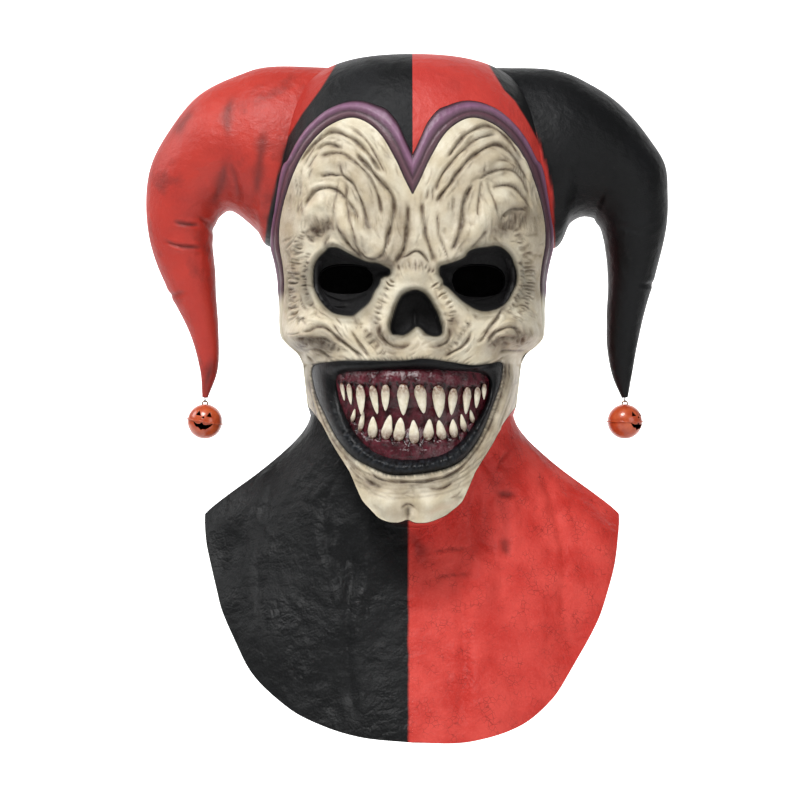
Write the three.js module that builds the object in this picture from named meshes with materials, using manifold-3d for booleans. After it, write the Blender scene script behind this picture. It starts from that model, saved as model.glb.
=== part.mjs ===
// A full-head latex jester mask with a grinning skull face, a two-horned cap,
// a two-colour collar and a pumpkin bell hanging from each horn.
// Millimetres. +Z is up, the face looks along -Y, and the origin is the inside
// of the crown, where the top of the wearer's head meets it.
import * as THREE from "three";
import { mergeVertices } from "three/addons/utils/BufferGeometryUtils.js";
import Module from "manifold-3d";

const wasm = await Module();
wasm.setup();

// Latex
const wall = 2; // thickness of the cast latex skin
const seam = 0.3; // gap between neighbouring colour fields
const cordRise = 2.2; // how far the brow band stands proud of the skin

// Head
const headWidth = 206; // across the temples
const headHeight = 330; // crown to chin
const domeHeight = 128; // crown down to the widest girth
const browReach = 108; // head axis to the brow
const backReach = 108; // head axis to the back of the head
const jawWidth = 149; // across the jaw angles
const chinReach = 112; // head axis to the chin
const napeReach = 92; // head axis to the nape
const jawHeight = 78; // chin to the jaw angles, upwards
const faceHalfTurn = 79; // degrees from the middle to where the face's edge meets the jaw
const bandWidth = 12; // brow band, across

// Face
const faceShift = 2; // the eyes and nose sit this far right of the mask's middle
const eyeSpacing = 87; // between the middles of the eye sockets
const eyeDrop = 164; // crown to the middle of the sockets
const socketWidth = 56;
const socketHeight = 48;
const socketDepth = 17;
const eyeHoleWidth = 34; // opening that the wearer sees through
const eyeHoleHeight = 19;
const noseDrop = 188; // crown to the middle of the nose pit
const noseWidth = 36;
const noseHeight = 36;
const noseDepth = 13;
const mouthWidth = 132; // between the mouth's corners
const mouthHeight = 79; // top edge to the lowest point
const chinClear = 31; // from there to the chin
const mouthDrop = headHeight - chinClear - mouthHeight; // crown to the mouth's top edge
const mouthArch = 2.5; // rise of the top edge
const mouthShift = -3; // the lips' outer edge sits this far left of the middle
const lipSide = 12; // black lip, across, at the corners
const lipTop = 7; // black lip, across, above the teeth
const lipBottom = 12.5; // black lip, across, below the teeth
const lipRise = 4; // how far the lip rolls out
const gumRecess = 8; // gums behind the surface of the face
const gumRise = 4; // swelling of each gum ridge
const gumGap = 0.8; // between the gums' edge and the lips

// Collar
const neckWidth = 146;
const throatReach = 62; // head axis to the front of the throat
const neckBackReach = 86;
const shoulderWidth = 298; // across the collar's widest point
const shoulderDrop = 327.5; // crown to the collar's edge on the shoulders
const bibReach = 100; // head axis to the collar's front edge
const bibDrop = 153; // shoulder edge down to the front edge
const tailDrop = 128; // shoulder edge down to the rear edge
const foldDepth = 6; // the collar's deepest dent

// Horns: each arches sideways out of the cap and droops to a tip
const hornStart = 58; // distance of the first section from the middle
const hornWall = 2;
const hornGap = 0.5; // between a horn and the skin that it sits on
const capLedge = 5; // the cap reaches this far across the inside of each horn's root
const redHornReach = 192; // middle of the mask to the outside of the bend
const blackHornReach = 184;
const hornDrop = 244.5; // crown to the tip
const hornGirth = 130; // height of the horn where it leaves the cap
const hornDepth = 0.98 * browReach; // front to back, where it leaves the cap
const tipSolid = 22; // height of solid latex above the tip

// Pumpkin bells
const bellDiameter = 25;
const bellWall = 0.8;
const crimpWidth = 0.7; // the rolled joint of the two halves stands out by this
const crimpHeight = 1.2;
const loopRadius = 1.9; // wire loop on top of the bell, to the wire's middle
const loopSink = 1.6; // how much of the loop is inside the bell
const loopWire = 0.5; // wire radius
const eyeRadius = 1.6; // screw eye in the horn's tip, to the wire's middle
const eyeWire = 0.4;
const eyeShank = 6; // length set in the tip
const linkPlay = 0.3; // between the loop and the eye, and round the shank
const pelletDiameter = 6;
const redBellTurn = -4; // degrees that each bell's face looks to the right
const blackBellTurn = 50;
const redBellRoll = 9; // degrees that its joint leans, right side down
const blackBellRoll = 0;

const crownTop = wall;
const degree = Math.PI / 180;
const { sin, cos, abs, sign, hypot, max, min, PI } = Math;
const clamp = (value, low, high) => min(high, max(low, value));
const vec = (x, y, z) => new THREE.Vector3(x, y, z);

// Head sections below the widest girth. drop is a share of headHeight, side of
// half the headWidth, front of browReach and back of backReach.
const headSections = [
  { drop: 0.388, side: 1.0, front: 1.0, back: 1.0 },
  { drop: 0.42, side: 0.985, front: 0.995, back: 1.0 },
  { drop: 0.46, side: 0.948, front: 0.975, back: 1.0 },
  { drop: 0.5, side: 0.925, front: 0.96, back: 0.99 },
  { drop: 0.58, side: 0.925, front: 0.965, back: 0.94 },
  { drop: 0.61, side: 0.91, front: 0.975, back: 0.91 },
  { drop: 0.63, side: 0.85, front: 0.98, back: 0.89 },
  { drop: 0.645, side: 0.795, front: 0.985, back: 0.87 },
  { drop: 0.67, side: 0.755, front: 1.0, back: 0.85 },
];

// The face's upper outline, a heart with its point down. turn is in shares of
// faceHalfTurn from the middle of the face, drop a share of headHeight.
const browLine = [
  { turn: 0.0, drop: 0.321 },
  { turn: 0.038, drop: 0.287 },
  { turn: 0.078, drop: 0.248 },
  { turn: 0.148, drop: 0.197 },
  { turn: 0.234, drop: 0.167 },
  { turn: 0.32, drop: 0.158 },
  { turn: 0.433, drop: 0.173 },
  { turn: 0.525, drop: 0.203 },
  { turn: 0.605, drop: 0.242 },
  { turn: 0.696, drop: 0.302 },
  { turn: 0.772, drop: 0.364 },
  { turn: 0.82, drop: 0.445 },
  { turn: 0.886, drop: 0.53 },
  { turn: 0.949, drop: 0.635 },
  { turn: 1.0, drop: 0.764 },
  { turn: 1.12, drop: 1.1 },
];

// The jaw line from the chin round to the nape. turn is in degrees from the
// middle of the face, rise a share of jawHeight.
const jawLine = [
  { turn: 0, rise: 0 },
  { turn: 11.6, rise: 0.02 },
  { turn: 15, rise: 0.07 },
  { turn: 19, rise: 0.19 },
  { turn: 22, rise: 0.31 },
  { turn: 26, rise: 0.46 },
  { turn: 37, rise: 0.69 },
  { turn: 48, rise: 0.87 },
  { turn: 68, rise: 0.99 },
  { turn: 90, rise: 1.0 },
  { turn: 180, rise: 0.85 },
];

// Swellings and hollows of the skull, each with its place, half width, half
// height and rise as shares of the sizes above. flat is 2 for a round form and
// more for one with a flat middle; lean turns it, in degrees, outer end up. A
// form with an x above 0 has a twin on the other side.
const skullForms = [
  // eye sockets
  { x: 0.5 * eyeSpacing, drop: eyeDrop, half: 0.5 * socketWidth, tall: 0.5 * socketHeight,
    rise: -socketDepth, flat: 4, lean: 8 },
  // nose pit
  { x: 0, drop: noseDrop, half: 0.5 * noseWidth, tall: 0.5 * noseHeight,
    rise: -noseDepth, flat: 4, lean: 0 },
  // brow rolls
  { x: 0.46 * eyeSpacing, drop: 0.8 * eyeDrop, half: 0.57 * socketWidth, tall: 0.27 * socketHeight,
    rise: 0.35 * socketDepth, flat: 2, lean: 26 },
  // knobs at the brows' inner ends
  { x: 0.27 * eyeSpacing, drop: 0.9 * eyeDrop, half: 0.21 * socketWidth, tall: 0.25 * socketHeight,
    rise: 0.35 * socketDepth, flat: 2, lean: 0 },
  // forehead
  { x: 0.46 * eyeSpacing, drop: 0.54 * eyeDrop, half: 0.64 * socketWidth,
    tall: 0.88 * socketHeight, rise: 0.24 * socketDepth, flat: 2, lean: 0 },
  // cheekbones
  { x: 0.84 * eyeSpacing, drop: 1.23 * eyeDrop, half: 0.39 * socketWidth,
    tall: 0.27 * socketHeight, rise: 0.35 * socketDepth, flat: 2, lean: 0 },
  // bridge of the nose
  { x: 0, drop: 0.86 * noseDrop, half: 0.36 * noseWidth, tall: 0.44 * noseHeight,
    rise: 0.31 * noseDepth, flat: 2, lean: 0 },
  // beside the nose pit
  { x: 0.75 * noseWidth, drop: 1.07 * noseDrop, half: 0.44 * noseWidth, tall: 0.28 * noseHeight,
    rise: 0.23 * noseDepth, flat: 2, lean: 20 },
  // upper lip
  { x: 0, drop: 0.97 * mouthDrop, half: 0.32 * mouthWidth, tall: 0.16 * mouthHeight,
    rise: 0.31 * noseDepth, flat: 2, lean: 0 },
  // the chin's two lobes and the cleft between them
  { x: 0.11 * jawWidth, drop: 0.95 * headHeight, half: 0.12 * jawWidth, tall: 0.2 * jawHeight,
    rise: 0.35 * socketDepth, flat: 2, lean: 0 },
  { x: 0, drop: 0.97 * headHeight, half: 0.034 * jawWidth, tall: 0.14 * jawHeight,
    rise: -0.24 * socketDepth, flat: 2, lean: 0 },
];

// The collar's front edge, uneven as it is trimmed by hand. turn is in degrees
// from the front, and each half's column is its share of bibDrop.
const bibLine = [
  { turn: 0, black: 1, red: 1 },
  { turn: 15, black: 0.975, red: 1 },
  { turn: 30, black: 0.9, red: 0.935 },
  { turn: 40, black: 0.81, red: 0.83 },
  { turn: 48, black: 0.71, red: 0.705 },
  { turn: 56, black: 0.575, red: 0.575 },
  { turn: 64, black: 0.44, red: 0.43 },
  { turn: 72, black: 0.3, red: 0.27 },
  { turn: 80, black: 0.14, red: 0.12 },
  { turn: 90, black: 0, red: 0 },
];

// Dents and flutes of the collar. turn is in degrees from the front, positive
// to the red side; along runs from 0 at the throat to 1 at the edge; rise is a
// share of foldDepth.
const collarFolds = [
  { turn: 40, along: 0.28, halfTurn: 11, halfAlong: 0.14, rise: -1 },
  { turn: 31, along: 0.42, halfTurn: 9, halfAlong: 0.12, rise: 0.8 },
  { turn: 22, along: 0.85, halfTurn: 9, halfAlong: 0.35, rise: 0.65 },
  { turn: 52, along: 0.9, halfTurn: 12, halfAlong: 0.3, rise: -0.85 },
  { turn: 74, along: 0.8, halfTurn: 10, halfAlong: 0.3, rise: 0.65 },
  { turn: -30, along: 0.36, halfTurn: 9, halfAlong: 0.13, rise: -0.85 },
  { turn: -24, along: 0.85, halfTurn: 10, halfAlong: 0.35, rise: -0.65 },
  { turn: -48, along: 0.85, halfTurn: 11, halfAlong: 0.35, rise: 0.8 },
  { turn: -72, along: 0.85, halfTurn: 10, halfAlong: 0.3, rise: -0.85 },
  { turn: 130, along: 0.85, halfTurn: 16, halfAlong: 0.4, rise: 0.8 },
  { turn: -135, along: 0.85, halfTurn: 16, halfAlong: 0.4, rise: 0.8 },
];

// Horn sections. out is a share of the horn's reach, drop of hornDrop, thick of
// half the hornGirth, deep of half the hornDepth; heading is the way the horn
// runs there, in degrees down from level.
const redHornSections = [
  { out: 0.302, drop: 0.282, thick: 0.95, deep: 0.95, heading: 0 },
  { out: 0.521, drop: 0.292, thick: 1.0, deep: 1.0, heading: 0 },
  { out: 0.615, drop: 0.278, thick: 0.86, deep: 0.94, heading: 6 },
  { out: 0.733, drop: 0.281, thick: 0.67, deep: 0.84, heading: 16 },
  { out: 0.81, drop: 0.337, thick: 0.55, deep: 0.72, heading: 31 },
  { out: 0.859, drop: 0.407, thick: 0.49, deep: 0.62, heading: 45 },
  { out: 0.872, drop: 0.487, thick: 0.42, deep: 0.54, heading: 61 },
  { out: 0.859, drop: 0.579, thick: 0.36, deep: 0.46, heading: 76 },
  { out: 0.819, drop: 0.691, thick: 0.25, deep: 0.36, heading: 98 },
  { out: 0.779, drop: 0.804, thick: 0.16, deep: 0.24, heading: 100 },
  { out: 0.761, drop: 0.915, thick: 0.1, deep: 0.13, heading: 95 },
  { out: 0.776, drop: 1.0, thick: 0.03, deep: 0.04, heading: 85 },
];
const blackHornSections = [
  { out: 0.315, drop: 0.282, thick: 0.95, deep: 0.95, heading: 0 },
  { out: 0.549, drop: 0.299, thick: 0.99, deep: 1.0, heading: 0 },
  { out: 0.66, drop: 0.282, thick: 0.77, deep: 0.93, heading: 8 },
  { out: 0.752, drop: 0.303, thick: 0.64, deep: 0.84, heading: 16 },
  { out: 0.83, drop: 0.366, thick: 0.55, deep: 0.74, heading: 31 },
  { out: 0.869, drop: 0.423, thick: 0.53, deep: 0.66, heading: 40 },
  { out: 0.879, drop: 0.485, thick: 0.47, deep: 0.58, heading: 47 },
  { out: 0.88, drop: 0.556, thick: 0.4, deep: 0.5, heading: 55 },
  { out: 0.864, drop: 0.646, thick: 0.3, deep: 0.41, heading: 66 },
  { out: 0.838, drop: 0.75, thick: 0.22, deep: 0.31, heading: 78 },
  { out: 0.823, drop: 0.845, thick: 0.17, deep: 0.22, heading: 84 },
  { out: 0.822, drop: 0.932, thick: 0.11, deep: 0.14, heading: 90 },
  { out: 0.833, drop: 1.0, thick: 0.034, deep: 0.045, heading: 85 },
];

// Teeth, from left to right. at is a share of the gums' half width, top and
// length are shares of the gums' height, wide of toothWidth; lean is how many
// degrees the point leans to the right.
const toothWidth = 8;
const toothDepth = 5;
const toothGap = 0.6; // between each tooth and the gum behind it
const upperTeeth = [
  { at: -0.91, top: 0.12, length: 0.22, wide: 0.45, lean: 16 },
  { at: -0.815, top: 0.13, length: 0.25, wide: 0.55, lean: 8 },
  { at: -0.67, top: 0.14, length: 0.36, wide: 0.86, lean: 7 },
  { at: -0.51, top: 0.15, length: 0.34, wide: 0.72, lean: 9 },
  { at: -0.34, top: 0.14, length: 0.31, wide: 0.74, lean: 0 },
  { at: -0.12, top: 0.13, length: 0.37, wide: 0.98, lean: 2 },
  { at: 0.085, top: 0.14, length: 0.34, wide: 0.98, lean: 6 },
  { at: 0.32, top: 0.15, length: 0.38, wide: 1.1, lean: 5 },
  { at: 0.52, top: 0.18, length: 0.32, wide: 0.82, lean: -6 },
  { at: 0.7, top: 0.17, length: 0.32, wide: 0.78, lean: -6 },
  { at: 0.83, top: 0.17, length: 0.25, wide: 0.66, lean: -3 },
  { at: 0.92, top: 0.13, length: 0.19, wide: 0.5, lean: -5 },
];
const lowerTeeth = [
  { at: -0.77, top: 0.42, length: 0.16, wide: 0.45, lean: -14 },
  { at: -0.67, top: 0.45, length: 0.24, wide: 0.56, lean: -12 },
  { at: -0.51, top: 0.51, length: 0.26, wide: 0.88, lean: -4 },
  { at: -0.34, top: 0.49, length: 0.29, wide: 0.92, lean: -8 },
  { at: -0.18, top: 0.52, length: 0.28, wide: 0.96, lean: -7 },
  { at: 0.02, top: 0.55, length: 0.28, wide: 0.86, lean: 2 },
  { at: 0.195, top: 0.54, length: 0.25, wide: 0.86, lean: -2 },
  { at: 0.38, top: 0.55, length: 0.23, wide: 0.86, lean: 9 },
  { at: 0.53, top: 0.54, length: 0.22, wide: 0.78, lean: 7 },
  { at: 0.66, top: 0.48, length: 0.21, wide: 0.6, lean: 12 },
  { at: 0.77, top: 0.43, length: 0.16, wide: 0.5, lean: 13 },
];

const finish = {
  bone: { color: 0xd9cfae, roughness: 0.55 },
  band: { color: 0x6d4560, roughness: 0.5 },
  black: { color: 0x1c1d20, roughness: 0.5 },
  red: { color: 0xc73a30, roughness: 0.5 },
  lip: { color: 0x17181c, roughness: 0.35 },
  gum: { color: 0x5a1a24, roughness: 0.25 },
  tooth: { color: 0xd8cdb4, roughness: 0.25 },
  bell: { color: 0xd2542a, roughness: 0.4, metalness: 0.3 },
  steel: { color: 0x9a9a98, roughness: 0.3, metalness: 1 },
};
const materials = Object.fromEntries(
  Object.entries(finish).map(([name, look]) => [name, new THREE.MeshStandardMaterial(look)]),
);

// A smooth value from a table: column key at position `at` of column by.
function lookUp(table, by, key, at) {
  const last = table.length - 1;
  if (at <= table[0][by]) return table[0][key];
  if (at >= table[last][by]) return table[last][key];
  const i = table.findIndex((row, n) => n < last && at < table[n + 1][by]);
  const slope = (n) => {
    const a = table[max(0, n - 1)];
    const b = table[min(last, n + 1)];
    return (b[key] - a[key]) / (b[by] - a[by]);
  };
  const width = table[i + 1][by] - table[i][by];
  const t = (at - table[i][by]) / width;
  const [from, to] = [table[i][key], table[i + 1][key]];
  return (
    from * (2 * t ** 3 - 3 * t ** 2 + 1) +
    slope(i) * width * (t ** 3 - 2 * t ** 2 + t) +
    to * (3 * t ** 2 - 2 * t ** 3) +
    slope(i + 1) * width * (t ** 3 - t ** 2)
  );
}

// Distance from the axis to an oval with its own front and back, at a turn.
function ovalRadius(turn, side, front, back, square = 2) {
  const fore = cos(turn) > 0 ? front : back;
  return (abs(sin(turn) / side) ** square + abs(cos(turn) / fore) ** square) ** (-1 / square);
}

const domeSquare = 3.1;
const sectionSquare = 2.15;
const girthZ = crownTop - domeHeight;
const cheekZ = crownTop - headHeight * headSections.at(-1).drop;
const chinZ = crownTop - headHeight;
const jawFade = 9; // the forms fade out over this height above the jaw's edge
const jawZ = (turn) => chinZ + jawHeight * lookUp(jawLine, "turn", "rise", abs(turn) / degree);
const jawRadius = (turn) => ovalRadius(turn, jawWidth / 2, chinReach, napeReach);

// Height on the head as one number: 0 at the crown, 1 at the widest girth and
// growing by 1 for each domeHeight below that.
const levelOf = (z) =>
  z >= girthZ
    ? Math.acos(clamp(1 - (crownTop - z) / domeHeight, 0, 1) ** (domeSquare / 2)) / (PI / 2)
    : 1 + (girthZ - z) / domeHeight;

function headSection(turn, level) {
  if (level <= 1) {
    const share = sin((level * PI) / 2) ** (2 / domeSquare);
    const fall = 1 - max(0, cos((level * PI) / 2)) ** (2 / domeSquare);
    const radius = ovalRadius(turn, headWidth / 2, browReach, backReach, sectionSquare);
    return { radius: share * radius, z: crownTop - domeHeight * fall };
  }
  const z = girthZ - (level - 1) * domeHeight;
  const section = (atZ) => {
    const drop = (crownTop - atZ) / headHeight;
    const column = (key) => lookUp(headSections, "drop", key, drop);
    return ovalRadius(
      turn, (headWidth / 2) * column("side"), browReach * column("front"),
      backReach * column("back"), sectionSquare,
    );
  };
  if (z >= cheekZ) return { radius: section(z), z };
  const t = clamp((cheekZ - z) / (cheekZ - jawZ(turn)), 0, 1.2);
  return { radius: THREE.MathUtils.lerp(section(cheekZ), jawRadius(turn), t), z };
}

// How far the skull's forms lift the skin at a place seen from the front.
function relief(x, z) {
  let lift = 0;
  for (const form of skullForms) {
    for (const side of form.x > 0 ? [-1, 1] : [1]) {
      const dx = (x - faceShift - side * form.x) * (form.x > 0 ? side : 1);
      const dz = z - (crownTop - form.drop);
      const [c, s] = [cos(form.lean * degree), sin(form.lean * degree)];
      const q = hypot((dx * c + dz * s) / form.half, (dz * c - dx * s) / form.tall);
      if (q < 1) lift += form.rise * (1 - q ** form.flat) ** 2;
    }
  }
  return lift;
}

function skin(turn, level, lift = 0) {
  const { radius, z } = headSection(turn, level);
  const facing = clamp(cos(turn) * 4, 0, 1) * clamp((z - jawZ(turn)) / jawFade, 0, 1);
  const r = radius + lift + (facing > 0 ? facing * relief(radius * sin(turn), z) : 0);
  return vec(r * sin(turn), -r * cos(turn), z);
}

function skinNormal(turn, level) {
  if (level < 0.02) return vec(0, 0, 1);
  const step = 0.01;
  const across = skin(turn + step, level).sub(skin(turn - step, level));
  const down = skin(turn, level + step).sub(skin(turn, level - step));
  return down.cross(across).normalize();
}

// The skin's point seen at x, z from the front.
function frontPoint(x, z) {
  let turn = 0;
  for (let i = 0; i < 20; i++) {
    const { radius } = headSection(turn, levelOf(z));
    turn = Math.asin(clamp(x / radius, -0.98, 0.98));
  }
  return skin(turn, levelOf(z));
}

// A closed sheet from two grids of points, outside[i][j] and inside[i][j].
// Coincident points, such as a pole's, are merged.
function sheet(outside, inside, ringed = false) {
  const n = outside.length;
  const m = outside[0].length;
  const points = [...outside.flat(), ...inside.flat()];
  const at = (back, i, j) => (back ? n * m : 0) + (i % n) * m + j;
  const corners = [];
  const quad = (a, b, c, d) => corners.push(a, b, c, a, c, d);
  for (let i = 0; i < (ringed ? n : n - 1); i++)
    for (let j = 0; j < m - 1; j++) {
      quad(at(0, i, j), at(0, i, j + 1), at(0, i + 1, j + 1), at(0, i + 1, j));
      quad(at(1, i, j), at(1, i + 1, j), at(1, i + 1, j + 1), at(1, i, j + 1));
    }
  for (let i = 0; i < (ringed ? n : n - 1); i++) {
    quad(at(0, i, 0), at(0, i + 1, 0), at(1, i + 1, 0), at(1, i, 0));
    quad(at(0, i + 1, m - 1), at(0, i, m - 1), at(1, i, m - 1), at(1, i + 1, m - 1));
  }
  if (!ringed)
    for (let j = 0; j < m - 1; j++) {
      quad(at(0, 0, j + 1), at(0, 0, j), at(1, 0, j), at(1, 0, j + 1));
      quad(at(0, n - 1, j), at(0, n - 1, j + 1), at(1, n - 1, j + 1), at(1, n - 1, j));
    }
  return closed(points, corners);
}

// A geometry of merged points without empty triangles, its faces pointing out.
function closed(points, corners) {
  const raw = new THREE.BufferGeometry().setFromPoints(points).setIndex(corners);
  const merged = mergeVertices(raw, 1e-3);
  const index = [...merged.index.array];
  const kept = [];
  for (let i = 0; i < index.length; i += 3) {
    const [a, b, c] = index.slice(i, i + 3);
    if (a !== b && b !== c && c !== a) kept.push(a, b, c);
  }
  const p = (i) => new THREE.Vector3().fromBufferAttribute(merged.attributes.position, i);
  let volume = 0;
  for (let i = 0; i < kept.length; i += 3)
    volume += p(kept[i]).dot(p(kept[i + 1]).cross(p(kept[i + 2])));
  return merged.setIndex(volume > 0 ? kept : kept.reverse());
}

function toSolid(geometry) {
  const bare = geometry.clone();
  bare.deleteAttribute("normal");
  bare.deleteAttribute("uv");
  const merged = mergeVertices(bare, 1e-3);
  return new wasm.Manifold(
    new wasm.Mesh({
      numProp: 3,
      vertProperties: merged.attributes.position.array,
      triVerts: new Uint32Array(merged.index.array),
    }),
  );
}

function toGeometry(solid) {
  const mesh = solid.getMesh();
  const corners = new Float32Array(mesh.numVert * 3);
  for (let i = 0; i < mesh.numVert; i++)
    corners.set(mesh.vertProperties.subarray(i * mesh.numProp, i * mesh.numProp + 3), i * 3);
  return new THREE.BufferGeometry()
    .setAttribute("position", new THREE.BufferAttribute(corners, 3))
    .setIndex(new THREE.BufferAttribute(mesh.triVerts, 1));
}

const largest = (solid) => solid.decompose().sort((a, b) => b.volume() - a.volume())[0];

const cut = (geometry, ...tools) =>
  tools.reduce((solid, tool) => solid.subtract(toSolid(tool)), toSolid(geometry));

const span = (count, from, to) =>
  Array.from({ length: count + 1 }, (_, i) => THREE.MathUtils.lerp(from, to, i / count));

// Field outlines on the head
const sideTurn = faceHalfTurn * degree;
const seamTurn = seam / (jawWidth / 2);
const browZ = (turn) =>
  crownTop - headHeight * lookUp(browLine, "turn", "drop", abs(turn) / sideTurn);

// How much further an edge runs in height than square to itself.
function edgeRun(turn) {
  const step = 0.02;
  const mid = max(abs(turn), step);
  const run = 2 * step * headSection(mid, levelOf(browZ(mid))).radius;
  return hypot(1, (browZ(mid + step) - browZ(mid - step)) / run);
}
const bandZ = (turn, across) => max(jawZ(turn), browZ(turn) + across * edgeRun(turn));

// The turn at which a line along the band comes down to the jaw.
function turnAtJaw(across) {
  let [low, high] = [0.5 * sideTurn, 1.6 * sideTurn];
  for (let i = 0; i < 40; i++) {
    const mid = (low + high) / 2;
    if (bandZ(mid, across) > jawZ(mid)) low = mid;
    else high = mid;
  }
  return high;
}

const faceColumns = 32;
const faceRows = 20;
const faceEnd = turnAtJaw(-seam);
const faceTurns = span(faceColumns, -1, 1).map(
  (share) => (0.75 * share + 0.25 * share ** 3) * faceEnd,
);
const bandEnds = span(4, faceEnd, turnAtJaw(bandWidth - seam)).slice(1);
const bandTurns = [...bandEnds.map((turn) => -turn).reverse(), ...faceTurns, ...bandEnds];

// The rim of the face along the jaw and the collar's first row share a slant.
function jawRim(turn) {
  const tuck = 50 * degree * max(0, cos(turn)) ** 2;
  return vec(-sin(turn) * cos(tuck), cos(turn) * cos(tuck), sin(tuck));
}

// A patch of skin: each turn with its levels, lifted off by a distance.
const skinPatch = (columns, lift) =>
  columns.map(({ turn, levels }) =>
    levels.map((level, j) =>
      skin(turn, level).addScaledVector(skinNormal(turn, level), lift(j)),
    ),
  );

// A patch filled in to the head's axis, for cutting what meets it.
const filled = (outside) =>
  sheet(outside, outside.map((line) => line.map(({ z }) => vec(0, 0, z))));

const faceColumnsOf = faceTurns.map((turn) => ({
  turn,
  levels: span(faceRows, levelOf(bandZ(turn, -seam)), levelOf(jawZ(turn))),
}));

function faceGeometry() {
  const outside = skinPatch(faceColumnsOf, () => 0);
  const inside = skinPatch(faceColumnsOf, () => -wall).map((line, i) => [
    ...line.slice(0, -1),
    outside[i].at(-1).clone().addScaledVector(jawRim(faceTurns[i]), wall),
  ]);
  return sheet(outside, inside);
}

// A prism along Y, from the front of the mask back to the plane y = 0.
function frontPrism(outline) {
  const shape = new THREE.Shape(outline.map(([x, z]) => new THREE.Vector2(x, z)));
  const length = 2 * browReach;
  const prism = new THREE.ExtrudeGeometry(shape, { depth: length, bevelEnabled: false });
  return prism.rotateX(PI / 2);
}

const ring = (count, place) => Array.from({ length: count }, (_, i) => place((2 * PI * i) / count));

function eyeHole(side) {
  const sides = 14;
  return frontPrism(
    ring(sides, (a) => [
      faceShift + side * (eyeSpacing / 2) + (side * eyeHoleWidth * cos(a)) / 2,
      crownTop - eyeDrop - 1 + (eyeHoleHeight * sin(a)) / 2,
    ]),
  );
}

// The mouth's outline: a slightly arched top edge over half an oval. inset 0 is
// the edge of the face, 1 the edge of the gums; grow adds an even margin.
function mouthOutline(angle, inset, grow = 0) {
  const middle = mouthShift * (1 - inset);
  const half = mouthWidth / 2 - lipSide * inset + grow;
  const topZ = crownTop - mouthDrop - lipTop * inset;
  const height = mouthHeight - (lipTop + lipBottom) * inset + grow;
  const arch = (mouthArch * (1 - inset / 2) + grow) * sin(angle);
  return [middle + half * cos(angle), topZ + (sin(angle) > 0 ? arch : height * sin(angle))];
}
const mouthSides = 24;
const mouthAngles = ring(mouthSides, (a) => a);

function lipsGeometry() {
  const steps = 4;
  const outside = mouthAngles.map((angle) =>
    span(steps, 0, 1).map((inset) => {
      const [x, z] = mouthOutline(angle, inset, inset === 0 ? -seam : 0);
      const point = frontPoint(x, z);
      point.y += gumRecess * inset ** 3 - lipRise * sin(PI * inset) ** 0.8;
      return point;
    }),
  );
  const inside = outside.map((line, i) =>
    line.map((point, j) => {
      const [x, z] = mouthOutline(mouthAngles[i], (j / steps) * 0.86);
      const back = frontPoint(x, z);
      return vec(point.x, point.y + wall * (1.3 + 0.2 * (j / steps)), point.z)
        .lerp(vec(back.x, point.y + 1.5 * wall, back.z), j === 0 ? 0 : 0.35);
    }),
  );
  return sheet(outside, inside, true);
}

// The gums' front surface at x, z: two ridges with the bite between them.
function gumY(x, z) {
  const topZ = crownTop - mouthDrop - lipTop;
  const height = mouthHeight - lipTop - lipBottom;
  const v = (topZ - z) / height;
  const ridge = max(0, cos((v - 0.18) * 2.2 * PI)) * 0.8 + max(0, cos((v - 0.86) * 2.4 * PI));
  const edge = clamp(1 - (x / (mouthWidth / 2 - lipSide)) ** 2, 0, 1);
  return frontPoint(x, z).y + gumRecess - gumRise * ridge * edge;
}

function gumsGeometry() {
  const [columns, rows] = [14, 6];
  const half = mouthWidth / 2 - lipSide - gumGap;
  const outside = span(columns, -1, 1).map((u) => {
    const x = half * sin((u * PI) / 2);
    const angle = Math.acos(clamp(x / half, -1, 1));
    const topZ = mouthOutline(angle, 1, -gumGap)[1];
    const lowZ = mouthOutline(-angle, 1, -gumGap)[1];
    return span(rows, topZ, lowZ).map((z) => vec(x, gumY(x, z), z));
  });
  const inside = outside.map((line) => line.map((p) => vec(p.x, p.y + wall, p.z)));
  return sheet(outside, inside);
}

// The band's rounded profile: shares of its width and of its rise.
const bandProfile = [
  { across: 0, rise: 0.2 },
  { across: 0.3, rise: 0.7 },
  { across: 0.62, rise: 1 },
  { across: 1, rise: 0.25 },
];
const bandColumns = (grow) =>
  bandTurns.map((turn) => ({
    turn,
    levels: bandProfile.map(({ across }) =>
      levelOf(bandZ(turn, THREE.MathUtils.lerp(-2 * grow, bandWidth - seam + 3 * grow, across))),
    ),
  }));
const bandOutside = (grow) =>
  skinPatch(bandColumns(grow), (j) => cordRise * bandProfile[j].rise + grow);

// One half of the cap: from the crown down to the brow band, the side of the
// face and the nape.
const hoodRows = 9;
const hoodEnd = turnAtJaw(bandWidth);
const hoodColumns = [
  ...bandTurns.filter((turn) => turn > -1e-9),
  ...span(7, hoodEnd, PI),
].map((turn) => {
  const lowZ = turn < hoodEnd ? bandZ(turn, bandWidth) : jawZ(turn);
  return { turn, levels: span(hoodRows, 0, levelOf(lowZ)) };
});
const besideSeam = (side, p) => vec(side * (max(0, p.x) + seam / 2), p.y, p.z);
const hoodOutside = (side, lift, columns = hoodColumns) =>
  skinPatch(columns, () => lift).map((line) => line.map((p) => besideSeam(side, p)));

// The cap's surface in fine steps, which leaves what is cut by it a smooth edge.
const fineColumns = span(60, 0, PI).map((turn) => {
  const lowZ = turn < hoodEnd ? bandZ(turn, bandWidth) : jawZ(turn);
  return { turn, levels: span(30, 0, levelOf(lowZ)) };
});

function hoodGeometry(side) {
  const outside = hoodOutside(side, 0);
  const inside = hoodOutside(side, -wall).map((line, i) => {
    const { turn } = hoodColumns[i];
    const rim = outside[i].at(-1).clone().addScaledVector(jawRim(side * turn), wall);
    return turn < hoodEnd ? line : [...line.slice(0, -1), rim];
  });
  return sheet(outside, inside);
}

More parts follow.
